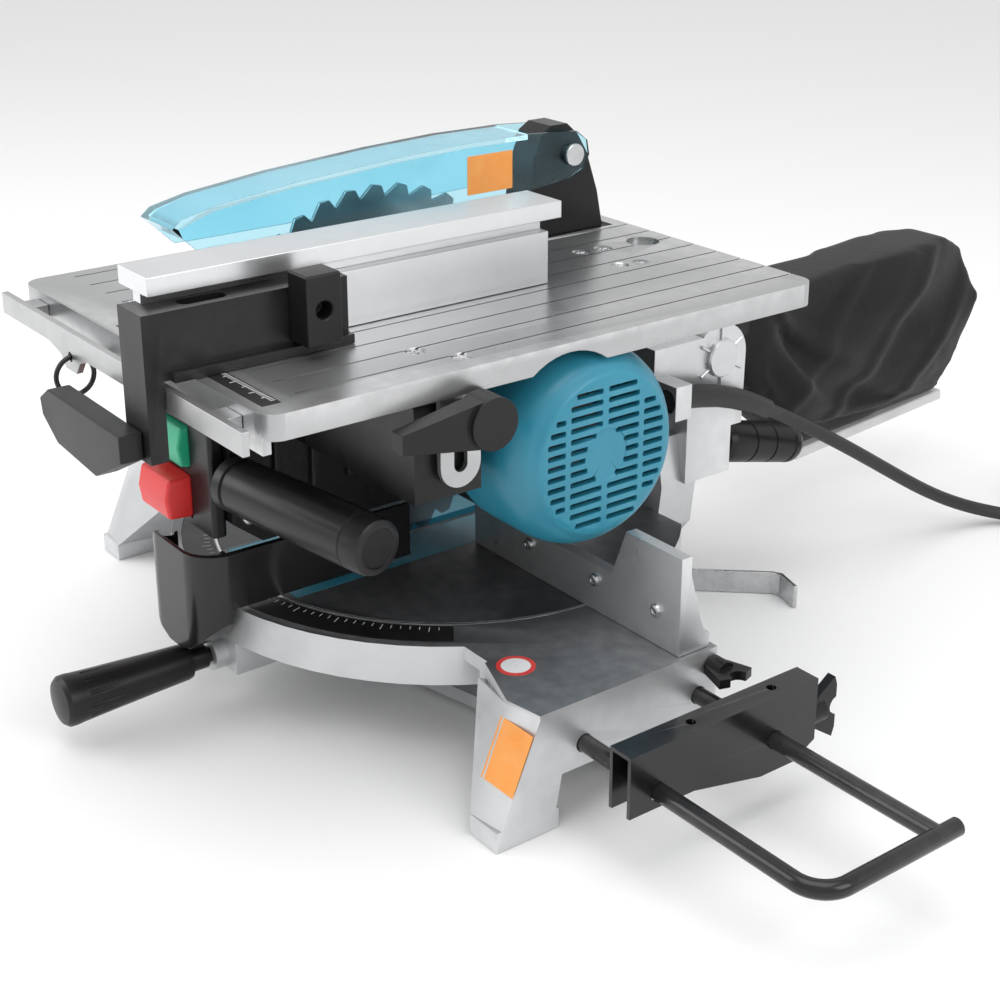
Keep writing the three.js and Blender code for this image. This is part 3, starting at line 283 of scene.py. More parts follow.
# the last stretch swings out over the coil and runs straight into the plug
SWING = 0.055                 # how strongly it holds its direction at either end
leave = lead_points[-1]
leaving = (leave - lead_points[-2]).normalized() * SWING
arriving = Vector((0, SWING, 0))
CLIMB_STEPS = 5
for step in range(1, CLIMB_STEPS + 1):
    t = step / CLIMB_STEPS
    lead_points.append(leave * (2 * t ** 3 - 3 * t ** 2 + 1) + leaving * (t ** 3 - 2 * t ** 2 + t)
                       + plug_entry * (3 * t ** 2 - 2 * t ** 3) + arriving * (t ** 3 - t ** 2))
lead_points.append(plug_entry + Vector((0, 0.001, 0)))

lead_curve = bpy.data.curves.new("mains_lead_line", "CURVE")
lead_curve.dimensions = "3D"
lead_curve.bevel_depth = LEAD_THICK / 2
lead_curve.bevel_resolution = 5
lead_curve.resolution_u = 4
lead_curve.use_fill_caps = True
spline = lead_curve.splines.new("NURBS")
spline.points.add(len(lead_points) - 1)
for knot, point in zip(spline.points, lead_points):
    knot.co = (*point, 1)
spline.order_u = 4
spline.use_endpoint_u = True
lead = bpy.data.objects.new("lead", lead_curve)
bpy.context.scene.collection.objects.link(lead)


def line_length(curve_object):
    """The length of a curve's centre line, measured on its evaluated spline."""
    plain = curve_object.data.copy()
    plain.bevel_depth = 0
    probe = bpy.data.objects.new("probe", plain)
    bpy.context.scene.collection.objects.link(probe)
    mesh = probe.evaluated_get(bpy.context.evaluated_depsgraph_get()).to_mesh()
    dots = [v.co.copy() for v in mesh.vertices]
    bpy.data.objects.remove(probe)
    return sum((b - a).length for a, b in zip(dots, dots[1:]))


LEAD_LENGTH = line_length(lead)
lead.data.materials.append(lead_rubber)
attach(lead, "turntable")
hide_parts("mains_lead", "lead_coil")


def even_normals(piece, angle):
    """Smooth shading up to an angle, with the large faces kept flat."""
    only(piece)
    bpy.ops.object.shade_smooth_by_angle(angle=math.radians(angle))
    weighting = piece.modifiers.new("weighting", "WEIGHTED_NORMAL")
    weighting.mode = "FACE_AREA"
    weighting.keep_sharp = True
    bpy.ops.object.modifier_apply(modifier=weighting.name)
    return piece


def bevelled(piece, width, segments=2, angle=32):
    """Rounds the hard edges of a mesh and shades it smooth between them."""
    only(piece)
    rounding = piece.modifiers.new("rounding", "BEVEL")
    rounding.width = width
    rounding.segments = segments
    rounding.limit_method = "ANGLE"
    rounding.angle_limit = math.radians(angle)
    rounding.use_clamp_overlap = True
    bpy.ops.object.modifier_apply(modifier=rounding.name)
    return even_normals(piece, 38)


def from_solid(node, name, width, segments=2, angle=32):
    """A fair copy of a CAD solid: one clean skin with its edges broken."""
    deselect()
    piece = bpy.data.objects.new(name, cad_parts[node].data.copy())
    bpy.context.scene.collection.objects.link(piece)
    only(piece)
    bpy.ops.object.mode_set(mode="EDIT")
    bpy.ops.mesh.select_all(action="SELECT")
    bpy.ops.mesh.remove_doubles(threshold=0.00001)
    bpy.ops.mesh.dissolve_limited(angle_limit=math.radians(0.4))
    bpy.ops.object.mode_set(mode="OBJECT")
    return bevelled(piece, width, segments, angle)


def fair(node, name, width, segments, body, slot, look):
    """A fair copy that is finished and stands for its own node."""
    return fit(from_solid(node, name, width, segments), body, slot, look, node)


plug_body = fair("mains_plug", "plug", 0.003, 3, "turntable", "rubber", lead_rubber)


def turned(name, start, direction, profile, sides=64):
    """A turned piece: a disc extruded ring by ring. The profile holds (distance, radius) in metres."""
    deselect()
    height, radius = profile[0]
    bpy.ops.mesh.primitive_circle_add(vertices=sides, radius=radius, fill_type="NGON", location=(0, 0, 0))
    piece = bpy.context.object
    piece.name = name
    bpy.ops.object.mode_set(mode="EDIT")
    bpy.ops.mesh.select_all(action="SELECT")
    bpy.ops.transform.translate(value=(0, 0, height))
    for reach, wide in profile[1:]:
        bpy.ops.mesh.extrude_region_move(TRANSFORM_OT_translate={"value": (0, 0, reach - height)})
        bpy.ops.transform.resize(value=(wide / radius, wide / radius, 1), center_override=(0, 0, reach))
        height, radius = reach, wide
    bpy.ops.mesh.select_all(action="SELECT")
    bpy.ops.mesh.normals_make_consistent(inside=False)
    bpy.ops.object.mode_set(mode="OBJECT")
    piece.data.transform(Vector(direction).to_track_quat("Z", "Y").to_matrix().to_4x4())
    piece.data.transform(Matrix.Translation(start))
    only(piece)
    bpy.ops.object.shade_smooth_by_angle(angle=math.radians(35))
    return piece


# the sleeve bends with the lead, so it is a tapering tube on a line of its own
sleeve_curve = bpy.data.curves.new("sleeve_line", "CURVE")
sleeve_curve.dimensions = "3D"
sleeve_curve.bevel_depth = 0.0080
sleeve_curve.bevel_resolution = 6
sleeve_curve.resolution_u = 8
sleeve_curve.use_fill_caps = True
sleeve_line = sleeve_curve.splines.new("POLY")
SLEEVE = ((0.106, 0.168, 1.0), (0.118, 0.168, 1.0), (0.134, 0.1655, 1.0), (0.150, 0.1620, 0.98),
          (0.166, 0.1568, 0.95), (0.182, 0.1502, 0.91), (0.1995, 0.1413, 0.87))
sleeve_line.points.add(len(SLEEVE) - 1)
for knot, (y, z, thick) in zip(sleeve_line.points, SLEEVE):
    knot.co = (*at(0.103, y, z), 1)
    knot.radius = thick
sleeve = bpy.data.objects.new("lead_sleeve", sleeve_curve)
bpy.context.scene.collection.objects.link(sleeve)
only(sleeve)
bpy.ops.object.convert(target="MESH")
bpy.ops.object.shade_smooth_by_angle(angle=math.radians(40))
fit(sleeve, "arm", "rubber", lead_rubber, "strain_relief")

# ---------- base ----------
# One aluminium casting, painted silver all over. The ring round the turntable and the tops of the wings
# are ground flat, and the front legs slope out to the bench bolts.

silver_paint = surface("silver_paint", (0.66, 0.67, 0.68), (0.56, 0.57, 0.58), (0.86, 0.86, 0.87),
                       0.36, 0.72, 900, 14, 0.00012)
ground_deck = surface("ground_deck", (0.17, 0.175, 0.18), (0.12, 0.125, 0.13), (0.55, 0.55, 0.56),
                      0.36, 0.6, 700, 9, 0.00006)
base = fair("base_casting", "base", 0.0022, 3, "base", "casting", silver_paint)

# the level tops are bare, so their faces take the ground finish
base.data.materials.append(ground_deck)
base_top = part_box("base_casting")[1].z
GROUND_DEEP = 0.0015          # a face this close under the deck is part of it
for face in base.data.polygons:
    if face.normal.z > 0.98 and face.center.z > base_top - GROUND_DEEP:
        face.material_index = 1

# ---------- mitre scale ----------
# A black printed strip let into the ring, with a white line every two degrees and a longer one every ten.

black_print = surface("black_print", (0.012, 0.012, 0.012), (0.007, 0.007, 0.007), (0.03, 0.03, 0.03),
                      0.42, 0.1, 1200, 60, 0.00005)
white_print = surface("white_print", (0.80, 0.80, 0.80), (0.70, 0.70, 0.70), (0.9, 0.9, 0.9),
                      0.5, 0, 900, 80, 0.00002)
fair("mitre_scale", "mitre_scale_strip", 0.0002, 1, "base", "black_metal", black_print)


def strokes(name, lines):
    """Thin raised strokes, each (middle, length, width, turn in degrees), joined as one piece."""
    made = []
    for middle, length, width, turn in lines:
        deselect()
        bpy.ops.mesh.primitive_plane_add(size=1, location=(0, 0, 0))
        stroke = bpy.context.object
        bpy.ops.object.mode_set(mode="EDIT")
        bpy.ops.mesh.extrude_region_move(TRANSFORM_OT_translate={"value": (0, 0, 0.00012)})
        bpy.ops.mesh.select_all(action="SELECT")
        bpy.ops.mesh.normals_make_consistent(inside=False)
        bpy.ops.object.mode_set(mode="OBJECT")
        stroke.data.transform(Matrix.Diagonal((length, width, 1, 1)))
        stroke.data.transform(Matrix.Rotation(math.radians(turn), 4, "Z"))
        stroke.data.transform(Matrix.Translation(middle))
        made.append(stroke)
    joined(made).name = name
    return made[0]


SCALE_R = 0.1655
marks = []
for step in range(-52, 53, 2):
    length = 0.0035 if step % 10 else 0.0060
    angle = math.radians(step - 90)
    middle = at((SCALE_R + length / 2) * math.cos(angle), (SCALE_R + length / 2) * math.sin(angle), base_top)
    marks.append((middle, length, 0.0004, step - 90))
fit(strokes("mitre_scale_lines", marks), "base", "white_plastic", white_print)


def flat_ring(name, middle, inner, outer, thick, first=0, last=360, steps=96):
    """A thin raised ring, or an arc of one: a rectangle stood on edge and spun."""
    deselect()
    bpy.ops.mesh.primitive_plane_add(size=1, location=(0, 0, 0))
    piece = bpy.context.object
    piece.name = name
    piece.data.transform(Matrix.Rotation(math.pi / 2, 4, "X"))
    piece.data.transform(Matrix.Diagonal((outer - inner, 1, thick, 1)))
    piece.data.transform(Matrix.Translation(((inner + outer) / 2, 0, thick / 2)))
    piece.data.transform(Matrix.Rotation(math.radians(first), 4, "Z"))
    bpy.ops.object.mode_set(mode="EDIT")
    bpy.ops.mesh.select_all(action="SELECT")
    bpy.ops.mesh.delete(type="ONLY_FACE")
    bpy.ops.mesh.select_all(action="SELECT")
    bpy.ops.mesh.spin(steps=steps, angle=math.radians(first - last), center=(0, 0, 0), axis=(0, 0, 1))
    bpy.ops.mesh.select_all(action="SELECT")
    bpy.ops.mesh.remove_doubles(threshold=0.00001)
    bpy.ops.mesh.fill_holes(sides=4)
    bpy.ops.mesh.normals_make_consistent(inside=False)
    bpy.ops.object.mode_set(mode="OBJECT")
    piece.data.transform(Matrix.Translation(middle))
    return piece


bright_edge = surface("bright_edge", (0.80, 0.80, 0.81), (0.68, 0.69, 0.70), (0.9, 0.9, 0.9), 0.24, 0.9,
                      600, 30, 0.00003)
fit(flat_ring("deck_arc", at(0, 0, base_top - 0.0001), 0.1607, 0.1619, 0.0003, -168, -4), "base", "milled",
    bright_edge)
red_print = surface("red_print", (0.70, 0.035, 0.035), (0.62, 0.025, 0.025), (0.8, 0.15, 0.12), 0.45, 0,
                    900, 50, 0.00003)
LABEL = at(0.196, -0.094, base_top - 0.0001)
fit(flat_ring("round_label_rim", LABEL, 0.0088, 0.0116, 0.0004, steps=64), "base", "red_plastic", red_print)
fit(flat_ring("round_label", LABEL, 0.0004, 0.0089, 0.0003, steps=64), "base", "white_plastic", white_print)

# ---------- mitre fence ----------
# A second silver casting bolted across the base. Its right half rises at the end, and hex screws hold it.

fence_paint = surface("fence_paint", (0.64, 0.65, 0.66), (0.54, 0.55, 0.56), (0.88, 0.88, 0.89),
                      0.30, 0.8, 600, 12, 0.00008)
zinc = surface("zinc_plate", (0.62, 0.62, 0.63), (0.46, 0.47, 0.48), (0.85, 0.85, 0.85),
               0.28, 0.95, 1100, 60, 0.00004)
fair("mitre_fence", "fence_casting", 0.0014, 3, "base", "casting", fence_paint)


def screw(name, place, direction, radius, body):
    """A round-headed screw with a hexagonal socket."""
    head = turned(name, place, direction, ((-0.0008, radius), (0.0012, radius), (0.0022, radius * 0.86),
                                           (0.0026, radius * 0.6)), 28)
    socket = turned(name + "_socket", place, direction, ((0.0008, radius * 0.42), (0.004, radius * 0.42)), 6)
    carve(head, socket)
    return fit(head, body, "steel", zinc)


def carve(piece, *tools):
    """Cuts tools out of a piece and throws them away."""
    for tool in tools:
        only(piece)
        cutting = piece.modifiers.new("cutting", "BOOLEAN")
        cutting.operation = "DIFFERENCE"
        cutting.solver = "EXACT"
        cutting.object = tool
        bpy.ops.object.modifier_apply(modifier=cutting.name)
        bpy.data.objects.remove(tool)
    return piece


for number, (x, z) in enumerate(((0.105, 0.098), (0.170, 0.098), (0.226, 0.100)), 1):
    screw(f"fence_screw_{number}", at(x, -0.0126, z), (0, -1, 0), 0.0042, "base")

# ---------- brace and pivot ----------
# A folded zinc-plated strap on the bench behind the base, and the bolt that the turntable turns on.

for node, name in (("rear_brace", "brace_strap"), ("mitre_pivot_bolt", "pivot_bolt")):
    fair(node, name, 0.0006, 2, "base", "steel", zinc)

# ---------- side support ----------
# A black powder-coated rod bent to a hoop, and a folded plate that slides on it. Wing screws lock both.

powder_coat = surface("powder_coat", (0.012, 0.012, 0.013), (0.007, 0.007, 0.008), (0.10, 0.10, 0.10),
                      0.22, 0.1, 1400, 30, 0.00008, coat=0.1, gleam=0.45)
black_moulding = surface("black_moulding", (0.012, 0.012, 0.013), (0.007, 0.007, 0.008),
                         (0.05, 0.05, 0.05), 0.34, 0, 1300, 25, 0.00010, rub=0.4, gleam=0.3)

rod_low, rod_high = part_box("extension_bar")
ROD_R = (rod_high.z - rod_low.z) / 2
ROD_Z = (rod_high.z + rod_low.z) / 2
BEND = 0.018


def rod(name, points, radius):
    """A round bar along straight runs with true arcs at its corners, made a mesh."""
    curve = bpy.data.curves.new(name + "_line", "CURVE")
    curve.dimensions = "3D"
    curve.bevel_depth = radius
    curve.bevel_resolution = 8
    curve.use_fill_caps = True
    run = curve.splines.new("POLY")
    run.points.add(len(points) - 1)
    for knot, point in zip(run.points, points):
        knot.co = (*point, 1)
    piece = bpy.data.objects.new(name, curve)
    bpy.context.scene.collection.objects.link(piece)
    only(piece)
    bpy.ops.object.convert(target="MESH")
    bpy.ops.object.shade_smooth_by_angle(angle=math.radians(40))
    return piece


rod_front = rod_low.y + ROD_R
rod_end = rod_high.x - ROD_R
hoop = [Vector((rod_low.x, rod_front, ROD_Z))]
for step in range(13):
    angle = step / 12 * math.pi / 2
    hoop.append(Vector((rod_end - BEND + BEND * math.sin(angle),
                        rod_front + BEND - BEND * math.cos(angle), ROD_Z)))
hoop.append(Vector((rod_end, rod_high.y - 0.002, ROD_Z)))
fit(rod("support_hoop", hoop, ROD_R), "bar", "black_metal", powder_coat, "extension_bar")
rear_run = [at(0.165, 0.002, ROD_Z), Vector((rod_end, MITRE_Y + 0.002, ROD_Z))]
fit(rod("support_rear_rod", rear_run, ROD_R), "bar", "black_metal", powder_coat)
fair("support_plate", "folded_plate", 0.0010, 3, "plate", "black_metal", powder_coat)
fair("plate_lock_screw", "plate_wing_screw", 0.0016, 3, "plate_screw", "black_plastic", black_moulding)
fair("bar_lock_screw", "bar_wing_screw", 0.0016, 3, "bar_screw", "black_plastic", black_moulding)

# ---------- turntable ----------
# A cast disc, dark and ground on top, with a teal plastic throat plate let in round the blade's slot.

# this dark finish is also the painted shade on the floors of the upper table's grooves
dark_deck = surface("dark_deck", (0.075, 0.078, 0.082), (0.050, 0.052, 0.055), (0.30, 0.30, 0.31),
                    0.42, 0.55, 800, 10, 0.00007)
table_casting = fair("turntable", "turntable_casting", 0.0012, 3, "turntable", "dark_deck", silver_paint)
table_casting.data.materials.append(dark_deck)
for face in table_casting.data.polygons:
    if face.normal.z > 0.9 and face.center.z > base_top - GROUND_DEEP:
        face.material_index = 1
teal_moulding = surface("teal_moulding", (0.030, 0.255, 0.365), (0.022, 0.215, 0.315), (0.10, 0.38, 0.48),
                        0.34, 0, 1500, 18, 0.00008)
fair("kerf_insert", "throat_plate", 0.0005, 2, "turntable", "teal_plastic", teal_moulding)
fair("bevel_pivot_bolt", "bevel_bolt", 0.0008, 2, "turntable", "steel", zinc)

# ---------- mitre grip ----------
# A black moulded handle with long flats and a domed end. It screws in to lock the turntable.

grip_low, grip_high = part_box("mitre_grip")
grip_start = Vector(((grip_low.x + grip_high.x) / 2, MITRE_Y - 0.194, (grip_low.z + grip_high.z) / 2))
mitre_handle = turned("mitre_handle", grip_start, (0, -1, 0), (
    (-0.027, 0.0049), (0.0, 0.0049), (0.0, 0.0080), (0.012, 0.0080), (0.0125, 0.0112), (0.015, 0.0118),
    (0.040, 0.0130), (0.075, 0.0150), (0.088, 0.0158), (0.092, 0.0163), (0.096, 0.0161), (0.0985, 0.0140),
    (0.0998, 0.0080), (0.1, 0.0006)), 48)
flutes = []
for number in range(12):
    angle = 2 * math.pi * number / 12
    beside = Vector((math.cos(angle), 0, math.sin(angle)))
    flutes.append(turned("flute", grip_start + Vector((0, -0.018, 0)) + beside * 0.0152, (0, -1, 0.0),
                         ((0, 0.0009), (0.066, 0.0012)), 10))
carve(mitre_handle, *flutes)
only(mitre_handle)
bpy.ops.object.shade_smooth_by_angle(angle=math.radians(32))
fit(mitre_handle, "mitre_knob", "black_plastic", black_moulding, "mitre_grip")

# ---------- rear arm ----------
# The silver casting that tilts with the head. It holds the hinge shaft between two lugs, and the port of
# the dust bag.

bright_arm = surface("bright_arm", (0.68, 0.69, 0.70), (0.55, 0.56, 0.57), (0.9, 0.9, 0.9),
                     0.34, 0.78, 800, 16, 0.00012)
fair("bevel_arm", "arm_casting", 0.0020, 3, "arm", "casting", bright_arm)
fair("head_hinge_shaft", "hinge_shaft", 0.0010, 2, "arm", "steel", zinc)
fair("head_stop_pin", "stop_pin_knob", 0.0010, 3, "stop_pin", "black_plastic", black_moulding)

shaft_low, shaft_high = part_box("head_hinge_shaft")
hinge = (shaft_low + shaft_high) / 2
LUG_RIGHT = 0.090             # the outer face of the right lug, from the mitre axis
lug_face = MITRE_X + LUG_RIGHT
boss = turned("hinge_boss", Vector((lug_face - 0.001, hinge.y, hinge.z)), (1, 0, 0),
              ((0, 0.0140), (0.0040, 0.0135), (0.0050, 0.0125)), 48)
fit(boss, "arm", "casting", bright_arm)
for number in range(6):
    turn = math.radians(60 * number + 30)
    outward = Vector((0, math.cos(turn), math.sin(turn)))
    rib_start = Vector((lug_face + 0.0006, hinge.y, hinge.z)) + outward * 0.013
    rib = turned(f"lug_rib_{number + 1}", rib_start, outward, ((0, 0.0012), (0.0085, 0.0012)), 12)
    fit(rib, "arm", "casting", bright_arm)

# ---------- bevel lock grip ----------
# A black handle in three panels with a domed end. It screws in to lock the tilt.

bevel_axis = Vector((0, 0.9702957, -0.2419219))
bevel_start = at(0.074, 0.1825, 0.112)
PANELS = 3
profile = [(-0.024, 0.0049), (0.0005, 0.0049), (0.0005, 0.0128), (0.004, 0.0148)]
for panel in range(PANELS):
    reach = 0.006 + panel * 0.0205
    profile += [(reach, 0.0152), (reach + 0.0185, 0.0152), (reach + 0.0190, 0.0144), (reach + 0.0200, 0.0144)]
profile += [(0.0680, 0.0153), (0.0720, 0.0151), (0.0755, 0.0135), (0.0780, 0.0095), (0.0789, 0.0040),
            (0.079, 0.0006)]
fit(turned("bevel_handle", bevel_start, bevel_axis, profile, 48), "bevel_knob", "black_plastic",
    black_moulding, "bevel_lock_grip")

# ---------- dust bag ----------
# A black woven bag on a wire mouth, hanging slack behind the saw, with a stiff white strip that closes
# its foot. The cloth is blown out a little and then left to crease.


def weave_look():
    look = surface("bag_cloth", (0.016, 0.016, 0.017), (0.010, 0.010, 0.011), (0.03, 0.03, 0.03),
                   0.80, 0, 260, 11, 0.0008, rub=0.0, gleam=0.2)
    nodes, links = look.node_tree.nodes, look.node_tree.links
    shader = nodes["Principled BSDF"]
    place = nodes.new("ShaderNodeTexCoord")
    heights = []
    for axis in ("Y", "Z"):
        thread = nodes.new("ShaderNodeTexWave")
        thread.bands_direction = axis
        dial(thread, Scale=260, Distortion=0.6)
        links.new(place.outputs["Object"], thread.inputs["Vector"])
        heights.append(thread.outputs["Fac"])
    crossed = nodes.new("ShaderNodeMath")
    crossed.operation = "MAXIMUM"
    links.new(heights[0], crossed.inputs[0])
    links.new(heights[1], crossed.inputs[1])
    threads = nodes.new("ShaderNodeBump")
    dial(threads, Strength=0.35, Distance=0.0002)
    links.new(crossed.outputs["Value"], threads.inputs["Height"])
    slow = nodes["Bump"]
    links.new(slow.outputs["Normal"], threads.inputs["Normal"])
    links.new(threads.outputs["Normal"], shader.inputs["Normal"])
    dial(shader, Sheen_Weight=0.12)
    return look


deselect()
bag = bpy.data.objects.new("dust_bag_cloth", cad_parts["dust_bag"].data.copy())
bpy.context.scene.collection.objects.link(bag)
only(bag)
bpy.ops.object.mode_set(mode="EDIT")
bpy.ops.mesh.select_all(action="SELECT")
bpy.ops.mesh.remove_doubles(threshold=0.00001)
bpy.ops.object.mode_set(mode="OBJECT")
remesh = bag.modifiers.new("cloth_grid", "REMESH")
remesh.mode = "VOXEL"
remesh.voxel_size = 0.006
bpy.ops.object.modifier_apply(modifier=remesh.name)
bag_low, bag_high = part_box("dust_bag")
bag_middle = (bag_low + bag_high) / 2
bag_length = bag_high.y - bag_low.y
MOUTH_Z = 0.176               # the middle of the wire mouth
MOUTH_HELD = 0.030            # how much of the mouth end the cloth pass leaves alone
FOOT_HELD = 0.022             # and how much above the white strip
DRAWN_IN = 0.90               # the slack sides, as a part of the solid's width
for vertex in bag.data.vertices:
    if (vertex.co.y - bag_low.y) / bag_length > 0.12:
        vertex.co.x = bag_middle.x + (vertex.co.x - bag_middle.x) * DRAWN_IN
before = [v.co.copy() for v in bag.data.vertices]
held = bag.vertex_groups.new(name="held")
for vertex in bag.data.vertices:
    if vertex.co.y < bag_low.y + MOUTH_HELD or vertex.co.z < bag_low.z + FOOT_HELD:
        held.add([vertex.index], 1.0, "REPLACE")
cloth = bag.modifiers.new("cloth", "CLOTH")
cloth.settings.quality = 6
cloth.settings.mass = 0.25
cloth.settings.tension_stiffness = 12
cloth.settings.compression_stiffness = 6
cloth.settings.bending_stiffness = 0.4
cloth.settings.vertex_group_mass = "held"
cloth.settings.use_pressure = True
cloth.settings.uniform_pressure_force = 1.2
cloth.settings.shrink_min = -0.04
cloth.collision_settings.use_self_collision = False
for number in range(1, 19):
    bpy.context.scene.frame_set(number)
only(bag)
bpy.ops.object.modifier_apply(modifier=cloth.name)
bpy.context.scene.frame_set(1)
CAP = 0.008                   # how far the cloth may stand from the bag's own solid
for vertex, rest in zip(bag.data.vertices, before):
    moved = vertex.co - rest
    if moved.length > CAP:
        vertex.co = rest + moved * (CAP / moved.length)
only(bag)
finer = bag.modifiers.new("finer", "SUBSURF")
finer.levels = 1
finer.render_levels = 1
bpy.ops.object.modifier_apply(modifier=finer.name)
# slow folds, slanted from the mouth down to the foot, that die out at both
for vertex in bag.data.vertices:
    along = (vertex.co.y - bag_low.y) / bag_length
    high = (vertex.co.z - bag_low.z) / (bag_high.z - bag_low.z)
    ease = min(1.0, max(0.0, (along - 0.06) / 0.15)) * min(1.0, max(0.0, high / 0.2))
    slant = along - high * 0.55
    fold = math.sin(11 * slant + 1.2 * math.sin(5 * high)) * 0.0034
    fold += max(0.0, math.sin(23 * slant + 2.4 * high)) ** 3 * 0.0026
    fold += math.sin(6 * along + 13 * high) * 0.0016
    side = max(-1.0, min(1.0, (vertex.co.x - bag_middle.x) / 0.018))
    vertex.co.x += side * fold * ease
only(bag)
bpy.ops.object.shade_smooth()
fit(bag, "arm", "bag_fabric", weave_look(), "dust_bag")
white_moulding = surface("white_moulding", (0.70, 0.70, 0.71), (0.62, 0.62, 0.63), (0.85, 0.85, 0.85),
                         0.45, 0, 1000, 30, 0.00005)
fair("bag_closure", "bag_strip", 0.0018, 3, "arm", "white_plastic", white_moulding)
mouth = turned("bag_mouth_band", Vector((bag_middle.x, bag_low.y - 0.001, MOUTH_Z)), (0, 1, 0),
               ((0, 0.0215), (0.001, 0.0245), (0.012, 0.0262), (0.0135, 0.0250)), 48)
fit(mouth, "arm", "black_plastic", black_moulding)

# ---------- blade case ----------
# A black pressed housing, open below, with stiffening ribs on the motor side. The arm ahead of the motor
# carries the stud that clamps the table.

case_paint = surface("case_paint", (0.011, 0.011, 0.012), (0.007, 0.007, 0.008), (0.06, 0.06, 0.06),
                     0.30, 0.1, 1200, 16, 0.00010, rub=0.4, gleam=0.3)
fair("blade_case", "case_shell", 0.0016, 3, "head", "black_metal", case_paint)


def cuboid(middle, size):
    """A sharp rectangular blank about its middle."""
    deselect()
    bpy.ops.mesh.primitive_cube_add(size=1, location=(0, 0, 0))
    piece = bpy.context.object
    piece.data.transform(Matrix.Diagonal((*size, 1)))
    piece.data.transform(Matrix.Translation(middle))
    return piece


def block(name, low, high, width, segments=2):
    """A rectangular piece between two corners with its edges broken."""
    piece = cuboid((low + high) / 2, high - low)
    piece.name = name
    return bevelled(piece, width, segments)


CASE_RIGHT = 0.036
for number, y in enumerate((-0.158, -0.132, -0.106), 1):
    rib = block(f"case_rib_{number}", at(CASE_RIGHT - 0.0004, y, 0.146),
                at(CASE_RIGHT + 0.0035, y + 0.005, 0.184), 0.0012)
    fit(rib, "head", "black_metal", case_paint)
screw("case_screw", at(CASE_RIGHT, -0.176, 0.136), (1, 0, 0), 0.0045, "head")

# ---------- lower cover ----------
# A thin black moulding that hides the blade's front edge, with a deep open cup ahead of the scale.

cover_plastic = surface("cover_plastic", (0.013, 0.013, 0.014), (0.008, 0.008, 0.009), (0.05, 0.05, 0.05),
                        0.20, 0, 1500, 20, 0.00005, rub=0.4, gleam=0.45)
fair("lower_cover", "front_cover", 0.0008, 2, "head", "black_plastic", cover_plastic)

# ---------- switch ----------
# A black box with two spring-loaded keys: a flat green one to start and a proud red one to stop.

fair("switch_box", "switch_case", 0.0007, 2, "head", "black_plastic", black_moulding)
green_key = surface("green_key", (0.010, 0.42, 0.22), (0.008, 0.36, 0.19), (0.10, 0.55, 0.35), 0.33, 0,
                    900, 40, 0.00004)
red_key = surface("red_key", (0.78, 0.030, 0.030), (0.68, 0.022, 0.022), (0.85, 0.15, 0.12), 0.33, 0,
                  900, 40, 0.00004)
KEY_SHORT = 0.0003
for node, name, body, slot_name, look, width in (
    ("start_button", "start_key", "start", "green_plastic", green_key, 0.0014),
    ("stop_button", "stop_key", "stop", "red_plastic", red_key, 0.0022),
):
    key = from_solid(node, name, width, 4)
    # pressed home, a key stops just short of the floor of its pocket
    key_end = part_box(node)[1].y - KEY_SHORT
    for vertex in key.data.vertices:
        vertex.co.y = min(vertex.co.y, key_end)
    fit(key, body, slot_name, look, node)

# ---------- front grip ----------
# A thick rubber sleeve over the carrying bar, with a collar at the case and a flat cap at its free end.

grip_rubber = surface("grip_rubber", (0.014, 0.014, 0.015), (0.009, 0.009, 0.010), (0.05, 0.05, 0.05),
                      0.32, 0, 1600, 22, 0.00010, rub=0.4, gleam=0.35)
GRIP_TURN = math.radians(8)
grip_axis = Vector((math.cos(GRIP_TURN), math.sin(GRIP_TURN), 0))
grip_root = at(0.036, -0.187, 0.1625)
handle = turned("front_handle", grip_root, grip_axis, (
    (0.0030, 0.0150), (0.0032, 0.0170), (0.0100, 0.0170), (0.0105, 0.0158), (0.0130, 0.0158),
    (0.0135, 0.0168), (0.0600, 0.0174), (0.1180, 0.0174), (0.1188, 0.0168), (0.1196, 0.0174),
    (0.1290, 0.0172), (0.1325, 0.0162), (0.1338, 0.0140), (0.1340, 0.0120), (0.1332, 0.0115),
    (0.1332, 0.0006)), 64)
fit(handle, "head", "rubber", grip_rubber, "front_grip")

# ---------- motor and gears ----------
# The gear case is a black moulding bolted to the blade case. The motor's teal housing is a deep cup with
# rows of slots in its flat end and a recess for each brush.

fair("gear_housing", "gear_case", 0.0030, 3, "head", "black_plastic", black_moulding)
motor_low, motor_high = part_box("motor_housing")
MOTOR_X = motor_low.x
motor_y = (motor_low.y + motor_high.y) / 2
motor_z = (motor_low.z + motor_high.z) / 2
MOTOR_R = (motor_high.y - motor_low.y) / 2
motor_deep = motor_high.x - motor_low.x
motor_start = Vector((MOTOR_X, motor_y, motor_z))
motor = turned("motor_cup", motor_start, (1, 0, 0), (
    (0, MOTOR_R - 0.0014), (0.0010, MOTOR_R - 0.0004), (0.0060, MOTOR_R - 0.0004), (0.0064, MOTOR_R),
    (motor_deep - 0.0280, MOTOR_R), (motor_deep - 0.0210, MOTOR_R - 0.0008),
    (motor_deep - 0.0150, MOTOR_R - 0.0026), (motor_deep - 0.0090, MOTOR_R - 0.0060),
    (motor_deep - 0.0045, MOTOR_R - 0.0096), (motor_deep - 0.0038, MOTOR_R - 0.0110),
    (motor_deep - 0.0016, MOTOR_R - 0.0122), (motor_deep - 0.0004, MOTOR_R - 0.0142),
    (motor_deep, MOTOR_R - 0.0170), (motor_deep, 0.016), (motor_deep - 0.0006, 0.0152),
    (motor_deep - 0.0006, 0.0006)), 96)
hollow = turned("motor_hollow", motor_start, (1, 0, 0), (
    (-0.002, MOTOR_R - 0.004), (motor_deep - 0.0260, MOTOR_R - 0.004), (motor_deep - 0.0120, MOTOR_R - 0.009),
    (motor_deep - 0.0050, MOTOR_R - 0.016)), 64)
carve(motor, hollow)
